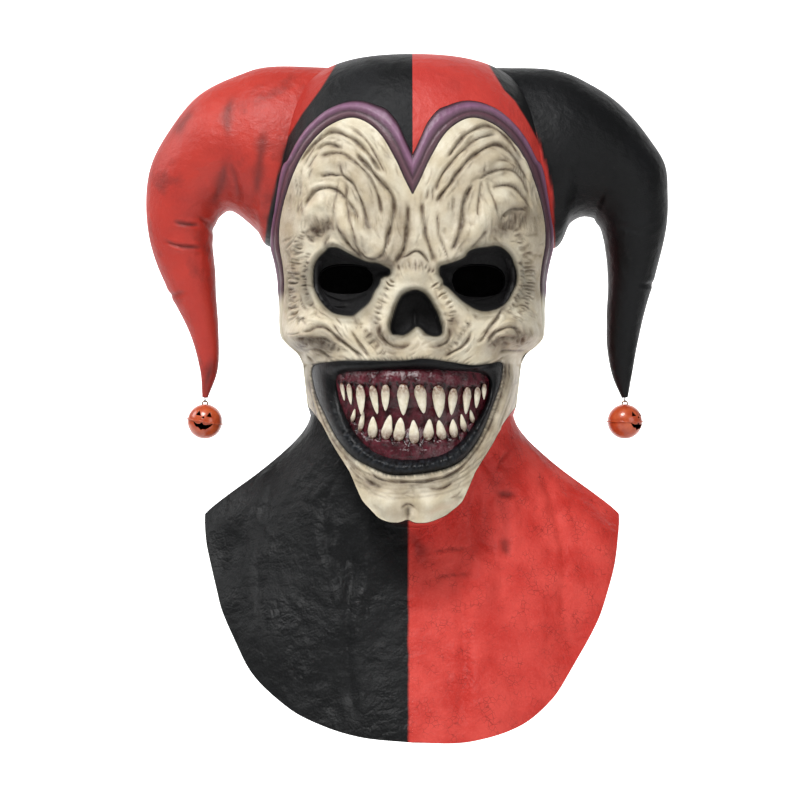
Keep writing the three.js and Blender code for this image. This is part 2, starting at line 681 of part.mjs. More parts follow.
// A loft through a horn's sections. shrink is the wall to take off, at the same
// stops, which leaves the tip solid.
function hornLoft(sections, side, reach, shrink) {
  const sides = 12;
  const rows = 16;
  const count = sections.length - 1;
  const table = sections.map((row, i) => ({ ...row, at: i / count }));
  const column = (key, at) => lookUp(table, "at", key, at);
  const hollowEnd = 1 - tipSolid / hornDrop;
  const stops = span(rows, 0, 1).filter((at) => shrink === 0 || at < hollowEnd);
  const lines = (shrink > 0 ? [...stops, hollowEnd] : stops).map((at) => {
    const first = at === 0 ? hornStart / (reach * sections[0].out) : 1;
    const middle = vec(
      side * reach * column("out", at) * first, 0, crownTop - hornDrop * column("drop", at),
    );
    const heading = column("heading", at) * degree;
    const thick = max(0.4, (hornGirth / 2) * column("thick", at) - shrink);
    const deep = max(0.4, (hornDepth / 2) * column("deep", at) - shrink);
    return ring(sides, (a) =>
      middle.clone().add(
        vec(side * sin(heading) * cos(a) * thick, sin(a) * deep, cos(heading) * cos(a) * thick),
      ),
    );
  });
  return capped(lines);
}

// A solid through rings of points, with flat ends.
function capped(lines) {
  const sides = lines[0].length;
  const points = lines.flat();
  const corners = [];
  for (let i = 0; i < lines.length - 1; i++)
    for (let j = 0; j < sides; j++) {
      const [a, b] = [i * sides + j, i * sides + ((j + 1) % sides)];
      corners.push(a, b, b + sides, a, b + sides, a + sides);
    }
  for (let j = 1; j < sides - 1; j++) {
    const end = (lines.length - 1) * sides;
    corners.push(0, j + 1, j, end, end + j, end + j + 1);
  }
  return closed(points, corners);
}

function hornTip(sections, side, reach) {
  const last = sections.at(-1);
  return vec(side * reach * last.out, 0, crownTop - hornDrop * last.drop);
}

function shankBore(tip) {
  const bore = new THREE.CylinderGeometry(
    eyeWire + linkPlay, eyeWire + linkPlay, 2 * (eyeShank + linkPlay), 8,
  );
  return bore.rotateX(PI / 2).translate(tip.x, tip.y, tip.z);
}

// The collar: under the jaw to the throat, which is its first share, and then
// down the neck to the edge.
const collarShelf = 0.2;
function collarPoint(turn, along) {
  const start = vec(
    jawRadius(turn) * sin(turn), -jawRadius(turn) * cos(turn), jawZ(turn) - seam,
  );
  const throat = ovalRadius(turn, neckWidth / 2, throatReach, neckBackReach);
  const tuck = vec(throat * sin(turn), -throat * cos(turn), start.z - 5);
  if (along <= collarShelf) return start.lerp(tuck, along / collarShelf);
  const half = turn > 0 ? "red" : "black";
  const drop =
    cos(turn) > 0
      ? bibDrop * lookUp(bibLine, "turn", half, abs(turn) / degree)
      : tailDrop * -cos(turn);
  const edge = vec(
    (shoulderWidth / 2) * sin(turn), -bibReach * cos(turn), crownTop - shoulderDrop - drop,
  );
  const fall = tuck.z - edge.z;
  const out = vec(edge.x - tuck.x, edge.y - tuck.y, 0);
  const near = tuck.clone().addScaledVector(out, 0.05).add(vec(0, 0, -0.33 * fall));
  const far = edge.clone().addScaledVector(out, -0.16).add(vec(0, 0, 0.2 * fall));
  const t = (along - collarShelf) / (1 - collarShelf);
  return new THREE.CubicBezierCurve3(tuck, near, far, edge).getPoint(t);
}

function collarLift(turn, along) {
  const t = (along - collarShelf) / (1 - collarShelf);
  let lift = 0;
  for (const fold of collarFolds) {
    const q = hypot((turn / degree - fold.turn) / fold.halfTurn, (t - fold.along) / fold.halfAlong);
    if (q < 1) lift += foldDepth * fold.rise * (1 - q ** 2) ** 2;
  }
  return lift;
}

function collarHalf(side) {
  const turns = hoodColumns.map(({ turn }) => turn);
  const alongs = [0, ...span(7, collarShelf, 1)];
  const normal = (turn, along) => {
    const step = 0.01;
    const ahead = min(1, along + step);
    const place = (a, b) => collarPoint(side * a, b).multiply(vec(side, 1, 1));
    const across = place(turn + step, along).sub(place(turn - step, along));
    const down = place(turn, ahead).sub(place(turn, ahead - 2 * step));
    return down.cross(across).normalize();
  };
  const place = (turn, along, inset) => {
    const out = normal(turn, along);
    const p = collarPoint(side * turn, along).multiply(vec(side, 1, 1));
    if (along === 0) p.addScaledVector(jawRim(turn), inset);
    else p.addScaledVector(out, collarLift(side * turn, along) - inset);
    return vec(side * (max(0, p.x) + seam / 2), p.y, p.z);
  };
  return sheet(
    turns.map((turn) => alongs.map((along) => place(turn, along, 0))),
    turns.map((turn) => alongs.map((along) => place(turn, along, wall))),
  );
}

// A tooth with its root at the origin and its point down: a bent cone, flattened
// from front to back.
function toothGeometry(width, length) {
  const profile = [
    [0, 0], [0.36, 0.06], [0.5, 0.3], [0.34, 0.7], [0, 1],
  ].map(([radius, down]) => new THREE.Vector2(radius * width, -down * length));
  const cone = new THREE.LatheGeometry(profile.reverse(), 6);
  cone.scale(1, 1, toothDepth / toothWidth).rotateX(PI / 2);
  const solid = toSolid(cone);
  return solid.volume() > 0 ? toGeometry(solid) : toGeometry(solid.mirror([1, 0, 0]));
}

function toothRow(name, teeth, down) {
  const gumHalf = mouthWidth / 2 - lipSide;
  const gumHeight = mouthHeight - lipTop - lipBottom;
  return teeth.map((tooth, i) => {
    const x = gumHalf * tooth.at;
    const length = gumHeight * tooth.length;
    const topZ = crownTop - mouthDrop - lipTop - gumHeight * tooth.top;
    const mesh = new THREE.Mesh(toothGeometry(toothWidth * tooth.wide, length), materials.tooth);
    mesh.name = `${name}_${String(i + 1).padStart(2, "0")}`;
    const swing = Math.atan2(gumY(x + 2, topZ) - gumY(x - 2, topZ), 4);
    const lean = tooth.lean * degree * (down ? -1 : 1);
    mesh.rotation.set(down ? 0 : PI, lean, swing, "ZYX");
    mesh.position.set(x, 0, down ? topZ : topZ - length);
    mesh.updateMatrixWorld();
    const corners = mesh.geometry.attributes.position;
    const gaps = Array.from({ length: corners.count }, (_, n) => {
      const p = vec().fromBufferAttribute(corners, n).applyMatrix4(mesh.matrixWorld);
      return gumY(p.x, p.z) - p.y;
    });
    mesh.position.y = min(...gaps) - toothGap;
    return mesh;
  });
}

// Bells. The bell's own origin is its middle, and its face looks along -Y.
const bellRadius = bellDiameter / 2;
const loopMiddle = bellRadius + loopRadius - loopSink;

// The cut-out face, in shares of the bell's radius from its middle.
const bellEye = [[0.42, 0.37], [0.31, 0.57], [0.2, 0.37]];
const bellNose = [[0.08, 0.19], [0, 0.34], [-0.08, 0.19]];
const bellMouth = [
  [0.57, -0.06], [0.2, -0.17], [0.06, -0.16], [0.01, -0.07], [-0.08, -0.07], [-0.15, -0.16],
  [-0.3, -0.17], [-0.57, -0.06], [-0.46, -0.24], [-0.34, -0.36], [-0.22, -0.35], [-0.06, -0.5],
  [0.08, -0.42], [0.2, -0.44], [0.36, -0.33], [0.48, -0.22],
];

function bellCutter(outline) {
  const shape = new THREE.Shape(
    outline.map(([x, z]) => new THREE.Vector2(x * bellRadius, z * bellRadius)),
  );
  const depth = bellRadius + 1;
  return new THREE.ExtrudeGeometry(shape, { depth, bevelEnabled: false }).rotateX(PI / 2);
}

function turnedSolid(profile) {
  const points = profile.map(([x, y]) => new THREE.Vector2(max(0, x), y));
  const solid = toSolid(new THREE.LatheGeometry(points, 14).rotateX(PI / 2));
  return solid.volume() > 0 ? solid : solid.mirror([1, 0, 0]);
}

function bellGeometry(turn, roll) {
  const crimp = crimpHeight / 2;
  const arc = (radius, from, to) =>
    span(4, from, to).map((a) => [abs(a) > 1.57 ? 0 : radius * cos(a), radius * sin(a)]);
  const outer = turnedSolid([
    ...arc(bellRadius, -PI / 2, -crimp / bellRadius),
    [bellRadius + crimpWidth, -crimp / 2],
    [bellRadius + crimpWidth, crimp / 2],
    ...arc(bellRadius, crimp / bellRadius, PI / 2),
  ]);
  const inner = turnedSolid([
    ...arc(bellRadius - bellWall, -PI / 2, 0), ...arc(bellRadius - bellWall, 0, PI / 2).slice(1),
  ]);
  const otherEye = bellEye.map(([x, z]) => [-x, z]).reverse();
  const shell = [bellEye, otherEye, bellNose, bellMouth]
    .reduce((solid, outline) => solid.subtract(toSolid(bellCutter(outline))), outer.subtract(inner))
    .rotate([0, roll, turn]);
  const loop = new THREE.TorusGeometry(loopRadius, loopWire, 5, 10)
    .rotateX(PI / 2)
    .translate(0, 0, loopMiddle);
  return toGeometry(shell.add(toSolid(loop)));
}

function screwEyeGeometry() {
  const eye = new THREE.TorusGeometry(eyeRadius, eyeWire, 5, 10).rotateY(PI / 2);
  const shank = new THREE.CylinderGeometry(eyeWire, eyeWire, eyeShank, 5)
    .rotateX(PI / 2)
    .translate(0, 0, eyeRadius + eyeShank / 2);
  return toGeometry(toSolid(eye).add(toSolid(shank)));
}

// A bell with its pellet, hung from the screw eye in a horn's tip.
function hangBell(name, tip, turn, roll) {
  const eyeMiddle = tip.z - eyeRadius - linkPlay;
  const eye = new THREE.Mesh(screwEyeGeometry(), materials.steel);
  eye.name = `screw_eye_${name}`;
  eye.position.set(tip.x, tip.y, eyeMiddle);
  const bell = new THREE.Group();
  const loopTop = loopMiddle + loopRadius - loopWire;
  bell.position.set(tip.x, tip.y, eyeMiddle - eyeRadius + eyeWire + linkPlay - loopTop);
  const shell = new THREE.Mesh(bellGeometry(turn, roll), materials.bell);
  shell.name = `bell_${name}`;
  const pellet = new THREE.Mesh(
    new THREE.IcosahedronGeometry(pelletDiameter / 2, 1), materials.steel,
  );
  pellet.name = `pellet_${name}`;
  pellet.position.z = -(bellRadius - bellWall) + pelletDiameter / 2 + seam;
  bell.add(shell, pellet);
  const hung = new THREE.Group();
  hung.add(eye, bell);
  return hung;
}

const mask = new THREE.Group();

function add(name, geometry, material) {
  const mesh = new THREE.Mesh(geometry, material);
  mesh.name = name;
  mask.add(mesh);
}

// Face, with its eye holes and the opening that the lips fill
const mouthHole = frontPrism(mouthAngles.map((angle) => mouthOutline(angle, 0)));
add("face", toGeometry(cut(faceGeometry(), eyeHole(-1), eyeHole(1), mouthHole)), materials.bone);
add("lips", lipsGeometry(), materials.lip);
add("gums", gumsGeometry(), materials.gum);
mask.add(...toothRow("tooth_upper", upperTeeth, true));
mask.add(...toothRow("tooth_lower", lowerTeeth, false));
const bandInside = skinPatch(bandColumns(0), () => -wall);
add("brow_band", sheet(bandOutside(0), bandInside), materials.band);

// Cap and horns
const front = [filled(skinPatch(faceColumnsOf, () => hornGap)), filled(bandOutside(hornGap))];
const horns = [
  { name: "red", cap: "black", side: -1, reach: redHornReach, sections: redHornSections,
    turn: redBellTurn, roll: redBellRoll },
  { name: "black", cap: "red", side: 1, reach: blackHornReach, sections: blackHornSections,
    turn: blackBellTurn, roll: blackBellRoll },
];
for (const { name, cap, side, reach, sections, turn, roll } of horns) {
  const hollow = hornLoft(sections, side, reach, hornWall);
  const tip = hornTip(sections, side, reach);
  const underHood = [hoodColumns, fineColumns].map(
    (columns) => filled(hoodOutside(side, hornGap, columns)),
  );
  const horn = cut(
    hornLoft(sections, side, reach, 0), hollow, ...underHood, ...front, shankBore(tip),
  );
  add(`horn_${name}`, toGeometry(largest(horn)), materials[name]);
  const opening = hornLoft(sections, side, reach, hornWall + capLedge);
  add(`hood_${cap}`, toGeometry(cut(hoodGeometry(side), opening)), materials[cap]);
  add(`collar_${cap}`, collarHalf(side), materials[cap]);
  mask.add(hangBell(`${name}_horn`, tip, turn, roll));
}

export default mask;
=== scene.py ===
# Looks for a full-head latex jester mask: a sculpted skull face, a purple brow
# band, a two-colour cap with two horns, a two-colour collar and a bell on each
# horn. Lengths in the tables are millimetres, and the scene is in metres.
import math
import bmesh
import bpy
import numpy as np
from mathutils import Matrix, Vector


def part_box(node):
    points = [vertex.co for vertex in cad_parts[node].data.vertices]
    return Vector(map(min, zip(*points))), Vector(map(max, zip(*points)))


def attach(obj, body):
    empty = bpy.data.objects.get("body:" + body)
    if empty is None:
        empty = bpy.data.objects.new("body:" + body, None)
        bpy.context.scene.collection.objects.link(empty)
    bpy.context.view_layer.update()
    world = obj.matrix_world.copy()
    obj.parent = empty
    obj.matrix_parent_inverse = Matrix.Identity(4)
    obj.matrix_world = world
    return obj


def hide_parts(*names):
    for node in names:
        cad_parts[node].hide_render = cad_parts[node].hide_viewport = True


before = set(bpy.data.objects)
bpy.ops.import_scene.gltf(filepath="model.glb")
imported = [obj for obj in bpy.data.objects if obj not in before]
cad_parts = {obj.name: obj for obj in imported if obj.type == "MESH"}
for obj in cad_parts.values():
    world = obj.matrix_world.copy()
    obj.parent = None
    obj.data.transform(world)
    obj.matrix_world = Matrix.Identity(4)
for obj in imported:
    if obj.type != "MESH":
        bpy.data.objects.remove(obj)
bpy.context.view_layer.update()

# Sizes of the head, the same as the solids have
WALL = 2.0
SEAM = 0.3
CORD_RISE = 2.2
HEAD_WIDTH = 206.0
HEAD_HEIGHT = 330.0
DOME_HEIGHT = 128.0
BROW_REACH = 108.0
BACK_REACH = 108.0
JAW_WIDTH = 149.0
CHIN_REACH = 112.0
NAPE_REACH = 92.0
JAW_HEIGHT = 78.0
FACE_HALF_TURN = math.radians(79)
BAND_WIDTH = 12.0
DOME_SQUARE = 3.1
SECTION_SQUARE = 2.15
CROWN_TOP = WALL

# Face
FACE_SHIFT = 2.0
EYE_SPACING = 87.0
EYE_DROP = 164.0
SOCKET_DEPTH = 17.0
NOSE_DROP = 188.0
NOSE_WIDTH = 36.0
NOSE_DEPTH = 13.0
MOUTH_WIDTH = 132.0
MOUTH_HEIGHT = 79.0
MOUTH_DROP = 220.0
LIP_SIDE = 12.0
LIP_TOP = 7.0
LIP_BOTTOM = 12.5
LIP_RISE = 4.0
GUM_RECESS = 8.0
GUM_RISE = 4.0
JAW_FADE = 9.0
TOOTH_WIDTH = 8.0
TOOTH_DEPTH = 5.0

# Collar
NECK_WIDTH = 146.0
THROAT_REACH = 62.0
NECK_BACK_REACH = 86.0
SHOULDER_WIDTH = 298.0
SHOULDER_DROP = 327.5
BIB_REACH = 100.0
BIB_DROP = 153.0
TAIL_DROP = 128.0
FOLD_DEPTH = 6.0
COLLAR_SHELF = 0.2

# Horns
HORN_START = 58.0
RED_HORN_REACH = 192.0
BLACK_HORN_REACH = 184.0
HORN_DROP = 244.5
HORN_GIRTH = 130.0
HORN_DEPTH = 0.98 * BROW_REACH
CAP_LEDGE = 5.0
# Where the cap is open into a horn: how far down, as a share of the horn's drop, how
# wide and high as a share of its girth, and how far inside the horn's start
HORN_ROOT_DROP = 0.285
HORN_ROOT_SHARE = 0.97
HORN_ROOT_REACH = 16.0
HORN_SOLID_TIP = 22.0
# Half of what shows between the colours: the real cap is one casting
COLOUR_GAP = SEAM / 60

# Bells
BELL_RADIUS = 12.5
BELL_WALL = 0.8
CRIMP_WIDTH = 0.7
CRIMP_HEIGHT = 1.2
LOOP_RADIUS = 1.9
LOOP_SINK = 1.6
LOOP_WIRE = 0.5

# The picture's view of the mask: millimetres for each pixel at the head's axis,
# and where the camera stands
PIXEL = 0.72
VIEW_DISTANCE = 2000.0
VIEW_X = -8.6
VIEW_Z = -244.2
PICTURE_MIDDLE = 400.0

HEAD_SECTIONS = {
    "drop": (0.388, 0.42, 0.46, 0.5, 0.58, 0.61, 0.63, 0.645, 0.67),
    "side": (1.0, 0.985, 0.948, 0.925, 0.925, 0.91, 0.85, 0.795, 0.755),
    "front": (1.0, 0.995, 0.975, 0.96, 0.965, 0.975, 0.98, 0.985, 1.0),
    "back": (1.0, 1.0, 1.0, 0.99, 0.94, 0.91, 0.89, 0.87, 0.85),
}
BROW_LINE = {
    "turn": (0.0, 0.038, 0.078, 0.148, 0.234, 0.32, 0.433, 0.525, 0.605, 0.696, 0.772, 0.82,
             0.886, 0.949, 1.0, 1.12),
    "drop": (0.321, 0.287, 0.248, 0.197, 0.167, 0.158, 0.173, 0.203, 0.242, 0.302, 0.364, 0.445,
             0.53, 0.635, 0.764, 1.1),
}
JAW_LINE = {
    "turn": (0, 11.6, 15, 19, 22, 26, 37, 48, 68, 90, 180),
    "rise": (0, 0.02, 0.07, 0.19, 0.31, 0.46, 0.69, 0.87, 0.99, 1.0, 0.85),
}
# Broad forms of the skull that the picture's drawing doesn't give: place, half
# size and rise in millimetres, and lean in degrees. Each has a twin.
SKULL_FORMS = (
    (0.46 * EYE_SPACING, 0.8 * EYE_DROP, 32, 13, 6, 26),
    (0.27 * EYE_SPACING, 0.9 * EYE_DROP, 12, 12, 6, 0),
    (0.46 * EYE_SPACING, 0.54 * EYE_DROP, 36, 42, 4, 0),
    (0.84 * EYE_SPACING, 1.23 * EYE_DROP, 22, 13, 6, 0),
    (0, 0.86 * NOSE_DROP, 13, 16, 4, 0),
    (0.75 * NOSE_WIDTH, 1.07 * NOSE_DROP, 16, 10, 3, 20),
    (0, 0.97 * MOUTH_DROP, 42, 13, 4, 0),
    (0.11 * JAW_WIDTH, 0.95 * HEAD_HEIGHT, 18, 16, 6, 0),
    (0, 0.97 * HEAD_HEIGHT, 5, 11, -4, 0),
)
BIB_LINE = {
    "turn": (0, 15, 30, 40, 48, 56, 64, 72, 80, 90),
    "black": (1, 0.975, 0.9, 0.81, 0.71, 0.575, 0.44, 0.3, 0.14, 0),
    "red": (1, 1, 0.935, 0.83, 0.705, 0.575, 0.43, 0.27, 0.12, 0),
}
# Dents and flutes of the collar: turn, along, half turn, half along, rise
COLLAR_FOLDS = (
    (40, 0.28, 11, 0.14, -1), (31, 0.42, 9, 0.12, 0.8), (22, 0.85, 9, 0.35, 0.65),
    (52, 0.9, 12, 0.3, -0.85), (74, 0.8, 10, 0.3, 0.65), (-30, 0.36, 9, 0.13, -0.85),
    (-24, 0.85, 10, 0.35, -0.65), (-48, 0.85, 11, 0.35, 0.8), (-72, 0.85, 10, 0.3, -0.85),
    (130, 0.85, 16, 0.4, 0.8), (-135, 0.85, 16, 0.4, 0.8),
)
RED_HORN = {
    "out": (0.302, 0.521, 0.615, 0.733, 0.81, 0.859, 0.872, 0.859, 0.819, 0.779, 0.761, 0.776),
    "drop": (0.282, 0.292, 0.278, 0.281, 0.337, 0.407, 0.487, 0.579, 0.691, 0.804, 0.915, 1.0),
    "thick": (0.95, 1.0, 0.86, 0.67, 0.55, 0.49, 0.42, 0.36, 0.25, 0.16, 0.1, 0.03),
    "deep": (0.95, 1.0, 0.94, 0.84, 0.72, 0.62, 0.54, 0.46, 0.36, 0.24, 0.13, 0.04),
    "heading": (0, 0, 6, 16, 31, 45, 61, 76, 98, 100, 95, 85),
}
BLACK_HORN = {
    "out": (0.315, 0.549, 0.66, 0.752, 0.83, 0.869, 0.879, 0.88, 0.864, 0.838, 0.823, 0.822, 0.833),
    "drop": (0.282, 0.299, 0.282, 0.303, 0.366, 0.423, 0.485, 0.556, 0.646, 0.75, 0.845, 0.932, 1.0),
    "thick": (0.95, 0.99, 0.77, 0.64, 0.55, 0.53, 0.47, 0.4, 0.3, 0.22, 0.17, 0.11, 0.034),
    "deep": (0.95, 1.0, 0.93, 0.84, 0.74, 0.66, 0.58, 0.5, 0.41, 0.31, 0.22, 0.14, 0.045),
    "heading": (0, 0, 8, 16, 31, 40, 47, 55, 66, 78, 84, 90, 85),
}
UPPER_TEETH = {
    "at": (-0.91, -0.815, -0.67, -0.51, -0.34, -0.12, 0.085, 0.32, 0.52, 0.7, 0.83, 0.92),
    "top": (0.12, 0.13, 0.14, 0.15, 0.14, 0.13, 0.14, 0.15, 0.18, 0.17, 0.17, 0.13),
    "length": (0.22, 0.25, 0.36, 0.34, 0.31, 0.37, 0.34, 0.38, 0.32, 0.32, 0.25, 0.19),
    "wide": (0.45, 0.55, 0.86, 0.72, 0.74, 0.98, 0.98, 1.1, 0.82, 0.78, 0.66, 0.5),
    "lean": (16, 8, 7, 9, 0, 2, 6, 5, -6, -6, -3, -5),
}
LOWER_TEETH = {
    "at": (-0.77, -0.67, -0.51, -0.34, -0.18, 0.02, 0.195, 0.38, 0.53, 0.66, 0.77),
    "top": (0.42, 0.45, 0.51, 0.49, 0.52, 0.55, 0.54, 0.55, 0.54, 0.48, 0.43),
    "length": (0.16, 0.24, 0.26, 0.29, 0.28, 0.28, 0.25, 0.23, 0.22, 0.21, 0.16),
    "wide": (0.45, 0.56, 0.88, 0.92, 0.96, 0.86, 0.86, 0.86, 0.78, 0.6, 0.5),
    "lean": (-14, -12, -4, -8, -7, 2, -2, 9, 7, 12, 13),
}


def look_up(table, by, column, at):
    """A smooth value from a table's column, at a place along column by."""
    xs = np.array(table[by], float)
    ys = np.array(table[column], float)
    at = np.clip(np.asarray(at, float), xs[0], xs[-1])
    slope = np.empty_like(ys)
    slope[1:-1] = (ys[2:] - ys[:-2]) / (xs[2:] - xs[:-2])
    slope[0] = (ys[1] - ys[0]) / (xs[1] - xs[0])
    slope[-1] = (ys[-1] - ys[-2]) / (xs[-1] - xs[-2])
    i = np.clip(np.searchsorted(xs, at, "right") - 1, 0, len(xs) - 2)
    width = xs[i + 1] - xs[i]
    t = (at - xs[i]) / width
    return (
        ys[i] * (2 * t**3 - 3 * t**2 + 1) + slope[i] * width * (t**3 - 2 * t**2 + t)
        + ys[i + 1] * (3 * t**2 - 2 * t**3) + slope[i + 1] * width * (t**3 - t**2)
    )


def smooth_step(low, high, value):
    t = np.clip((value - low) / (high - low), 0, 1)
    return t * t * (3 - 2 * t)


def oval_radius(turn, side, front, back, square=2.0):
    fore = np.where(np.cos(turn) > 0, front, back)
    total = np.abs(np.sin(turn) / side) ** square + np.abs(np.cos(turn) / fore) ** square
    return total ** (-1 / square)


GIRTH_Z = CROWN_TOP - DOME_HEIGHT
# How softly the cheek turns in towards the jaw
CHEEK_EASE = 0.06
CHEEK_Z = CROWN_TOP - HEAD_HEIGHT * HEAD_SECTIONS["drop"][-1]
CHIN_Z = CROWN_TOP - HEAD_HEIGHT


def jaw_z(turn):
    return CHIN_Z + JAW_HEIGHT * look_up(JAW_LINE, "turn", "rise", np.degrees(np.abs(turn)))


def jaw_radius(turn):
    return oval_radius(turn, JAW_WIDTH / 2, CHIN_REACH, NAPE_REACH)


def level_of(z):
    """Height on the head as one number: 0 at the crown and 1 at the widest girth."""
    inner = np.clip(1 - (CROWN_TOP - z) / DOME_HEIGHT, 0, 1) ** (DOME_SQUARE / 2)
    return np.where(z >= GIRTH_Z, np.arccos(inner) / (math.pi / 2), 1 + (GIRTH_Z - z) / DOME_HEIGHT)


def head_section(turn, level):
    """The head's radius and height, before the skull's own forms."""
    quarter = np.clip(level, 0, 1) * math.pi / 2
    share = np.sin(quarter) ** (2 / DOME_SQUARE)
    fall = 1 - np.maximum(0, np.cos(quarter)) ** (2 / DOME_SQUARE)
    dome = share * oval_radius(turn, HEAD_WIDTH / 2, BROW_REACH, BACK_REACH, SECTION_SQUARE)
    z = np.where(level <= 1, CROWN_TOP - DOME_HEIGHT * fall, GIRTH_Z - (level - 1) * DOME_HEIGHT)

    def section(at_z):
        drop = (CROWN_TOP - at_z) / HEAD_HEIGHT
        side, front, back = (look_up(HEAD_SECTIONS, "drop", c, drop) for c in ("side", "front", "back"))
        return oval_radius(
            turn, HEAD_WIDTH / 2 * side, BROW_REACH * front, BACK_REACH * back, SECTION_SQUARE)

    t = np.clip((CHEEK_Z - z) / (CHEEK_Z - jaw_z(turn)), 0, 1.2)
    t = (1 + CHEEK_EASE) * t**2 / (t + CHEEK_EASE)
    low = (1 - t) * section(np.maximum(z, CHEEK_Z)) + t * jaw_radius(turn)
    return np.where(level <= 1, dome, low), z


def broad_relief(x, z):
    lift = np.zeros(np.broadcast(x, z).shape)
    for form_x, drop, half, tall, rise, lean in SKULL_FORMS:
        for side in ((-1, 1) if form_x > 0 else (1,)):
            dx = (x - FACE_SHIFT - side * form_x) * (side if form_x > 0 else 1)
            dz = z - (CROWN_TOP - drop)
            c, s = math.cos(math.radians(lean)), math.sin(math.radians(lean))
            q = np.hypot((dx * c + dz * s) / half, (dz * c - dx * s) / tall)
            lift = lift + rise * np.where(q < 1, (1 - q**2) ** 2, 0)
    return lift


def skin(turn, level):
    """Points on the head with the broad forms, for arrays of turns and levels."""
    radius, z = head_section(turn, level)
    facing = np.clip(np.cos(turn) * 4, 0, 1) * np.clip((z - jaw_z(turn)) / JAW_FADE, 0, 1)
    r = radius + facing * broad_relief(radius * np.sin(turn), z)
    return np.stack([r * np.sin(turn), -r * np.cos(turn), z], -1)


def unit(v):
    return v / np.maximum(np.linalg.norm(v, axis=-1, keepdims=True), 1e-9)


def grid_normals(points, ring=False):
    """Outward normals of a grid of points, whose rows run down and columns across."""
    if ring:
        across = np.roll(points, -1, 0) - np.roll(points, 1, 0)
    else:
        across = np.gradient(points, axis=0)
    down = np.gradient(points, axis=1)
    return unit(np.cross(down, across))


def to_picture(points):
    """Where points show in the picture, in pixels."""
    near = VIEW_DISTANCE / (VIEW_DISTANCE + points[..., 1]) / PIXEL
    return np.stack([
        PICTURE_MIDDLE + (points[..., 0] - VIEW_X) * near,
        PICTURE_MIDDLE - (points[..., 2] - VIEW_Z) * near,
    ], -1)


def front_points(picture):
    """The head's surface seen at places in the picture."""
    y = np.full(picture.shape[:-1], -BROW_REACH)
    for _ in range(4):
        size = PIXEL * (VIEW_DISTANCE + y) / VIEW_DISTANCE
        x = VIEW_X + (picture[..., 0] - PICTURE_MIDDLE) * size
        z = VIEW_Z - (picture[..., 1] - PICTURE_MIDDLE) * size
        found = front_of(x, z)
        y = found[..., 1]
    return found


def front_of(x, z):
    """The head's surface straight behind x, z from the front."""
    turn = np.zeros_like(x)
    for _ in range(12):
        radius, _z = head_section(turn, level_of(z))
        turn = np.arcsin(np.clip(x / radius, -0.98, 0.98))
    return skin(turn, level_of(z))


def rounded(points, closed=False, rounds=2):
    """A line through hand-marked places with its corners rounded off."""
    line = np.array(points, float)
    for _ in range(rounds):
        ahead = np.roll(line, -1, 0) if closed else line[1:]
        base = line if closed else line[:-1]
        cut = np.stack([0.75 * base + 0.25 * ahead, 0.25 * base + 0.75 * ahead], 1).reshape(-1, 2)
        line = cut if closed else np.vstack([line[:1], cut, line[-1:]])
    return line


def to_line(x, y, line):
    """Distance from places to a line, and how far along it the nearest point is."""
    nearest = np.full(x.shape, 1e9)
    along = np.zeros(x.shape)
    walked = 0.0
    for (ax, ay), (bx, by) in zip(line[:-1], line[1:]):
        length = math.hypot(bx - ax, by - ay)
        if length < 1e-6:
            continue
        t = np.clip(((x - ax) * (bx - ax) + (y - ay) * (by - ay)) / length**2, 0, 1)
        away = np.hypot(x - ax - t * (bx - ax), y - ay - t * (by - ay))
        closer = away < nearest
        nearest = np.where(closer, away, nearest)
        along = np.where(closer, walked + t * length, along)
        walked += length
    return nearest, along, walked


def inside_outline(x, y, outline):
    """How deep places are inside an outline, less than 0 outside it."""
    edge = np.vstack([outline, outline[:1]])
    away, _along, _length = to_line(x, y, edge)
    within = np.zeros(x.shape, bool)
    for (ax, ay), (bx, by) in zip(edge[:-1], edge[1:]):
        if ay == by:
            continue
        crosses = (ay > y) != (by > y)
        within ^= crosses & (x < (bx - ax) * (y - ay) / (by - ay) + ax)
    return np.where(within, away, -away)


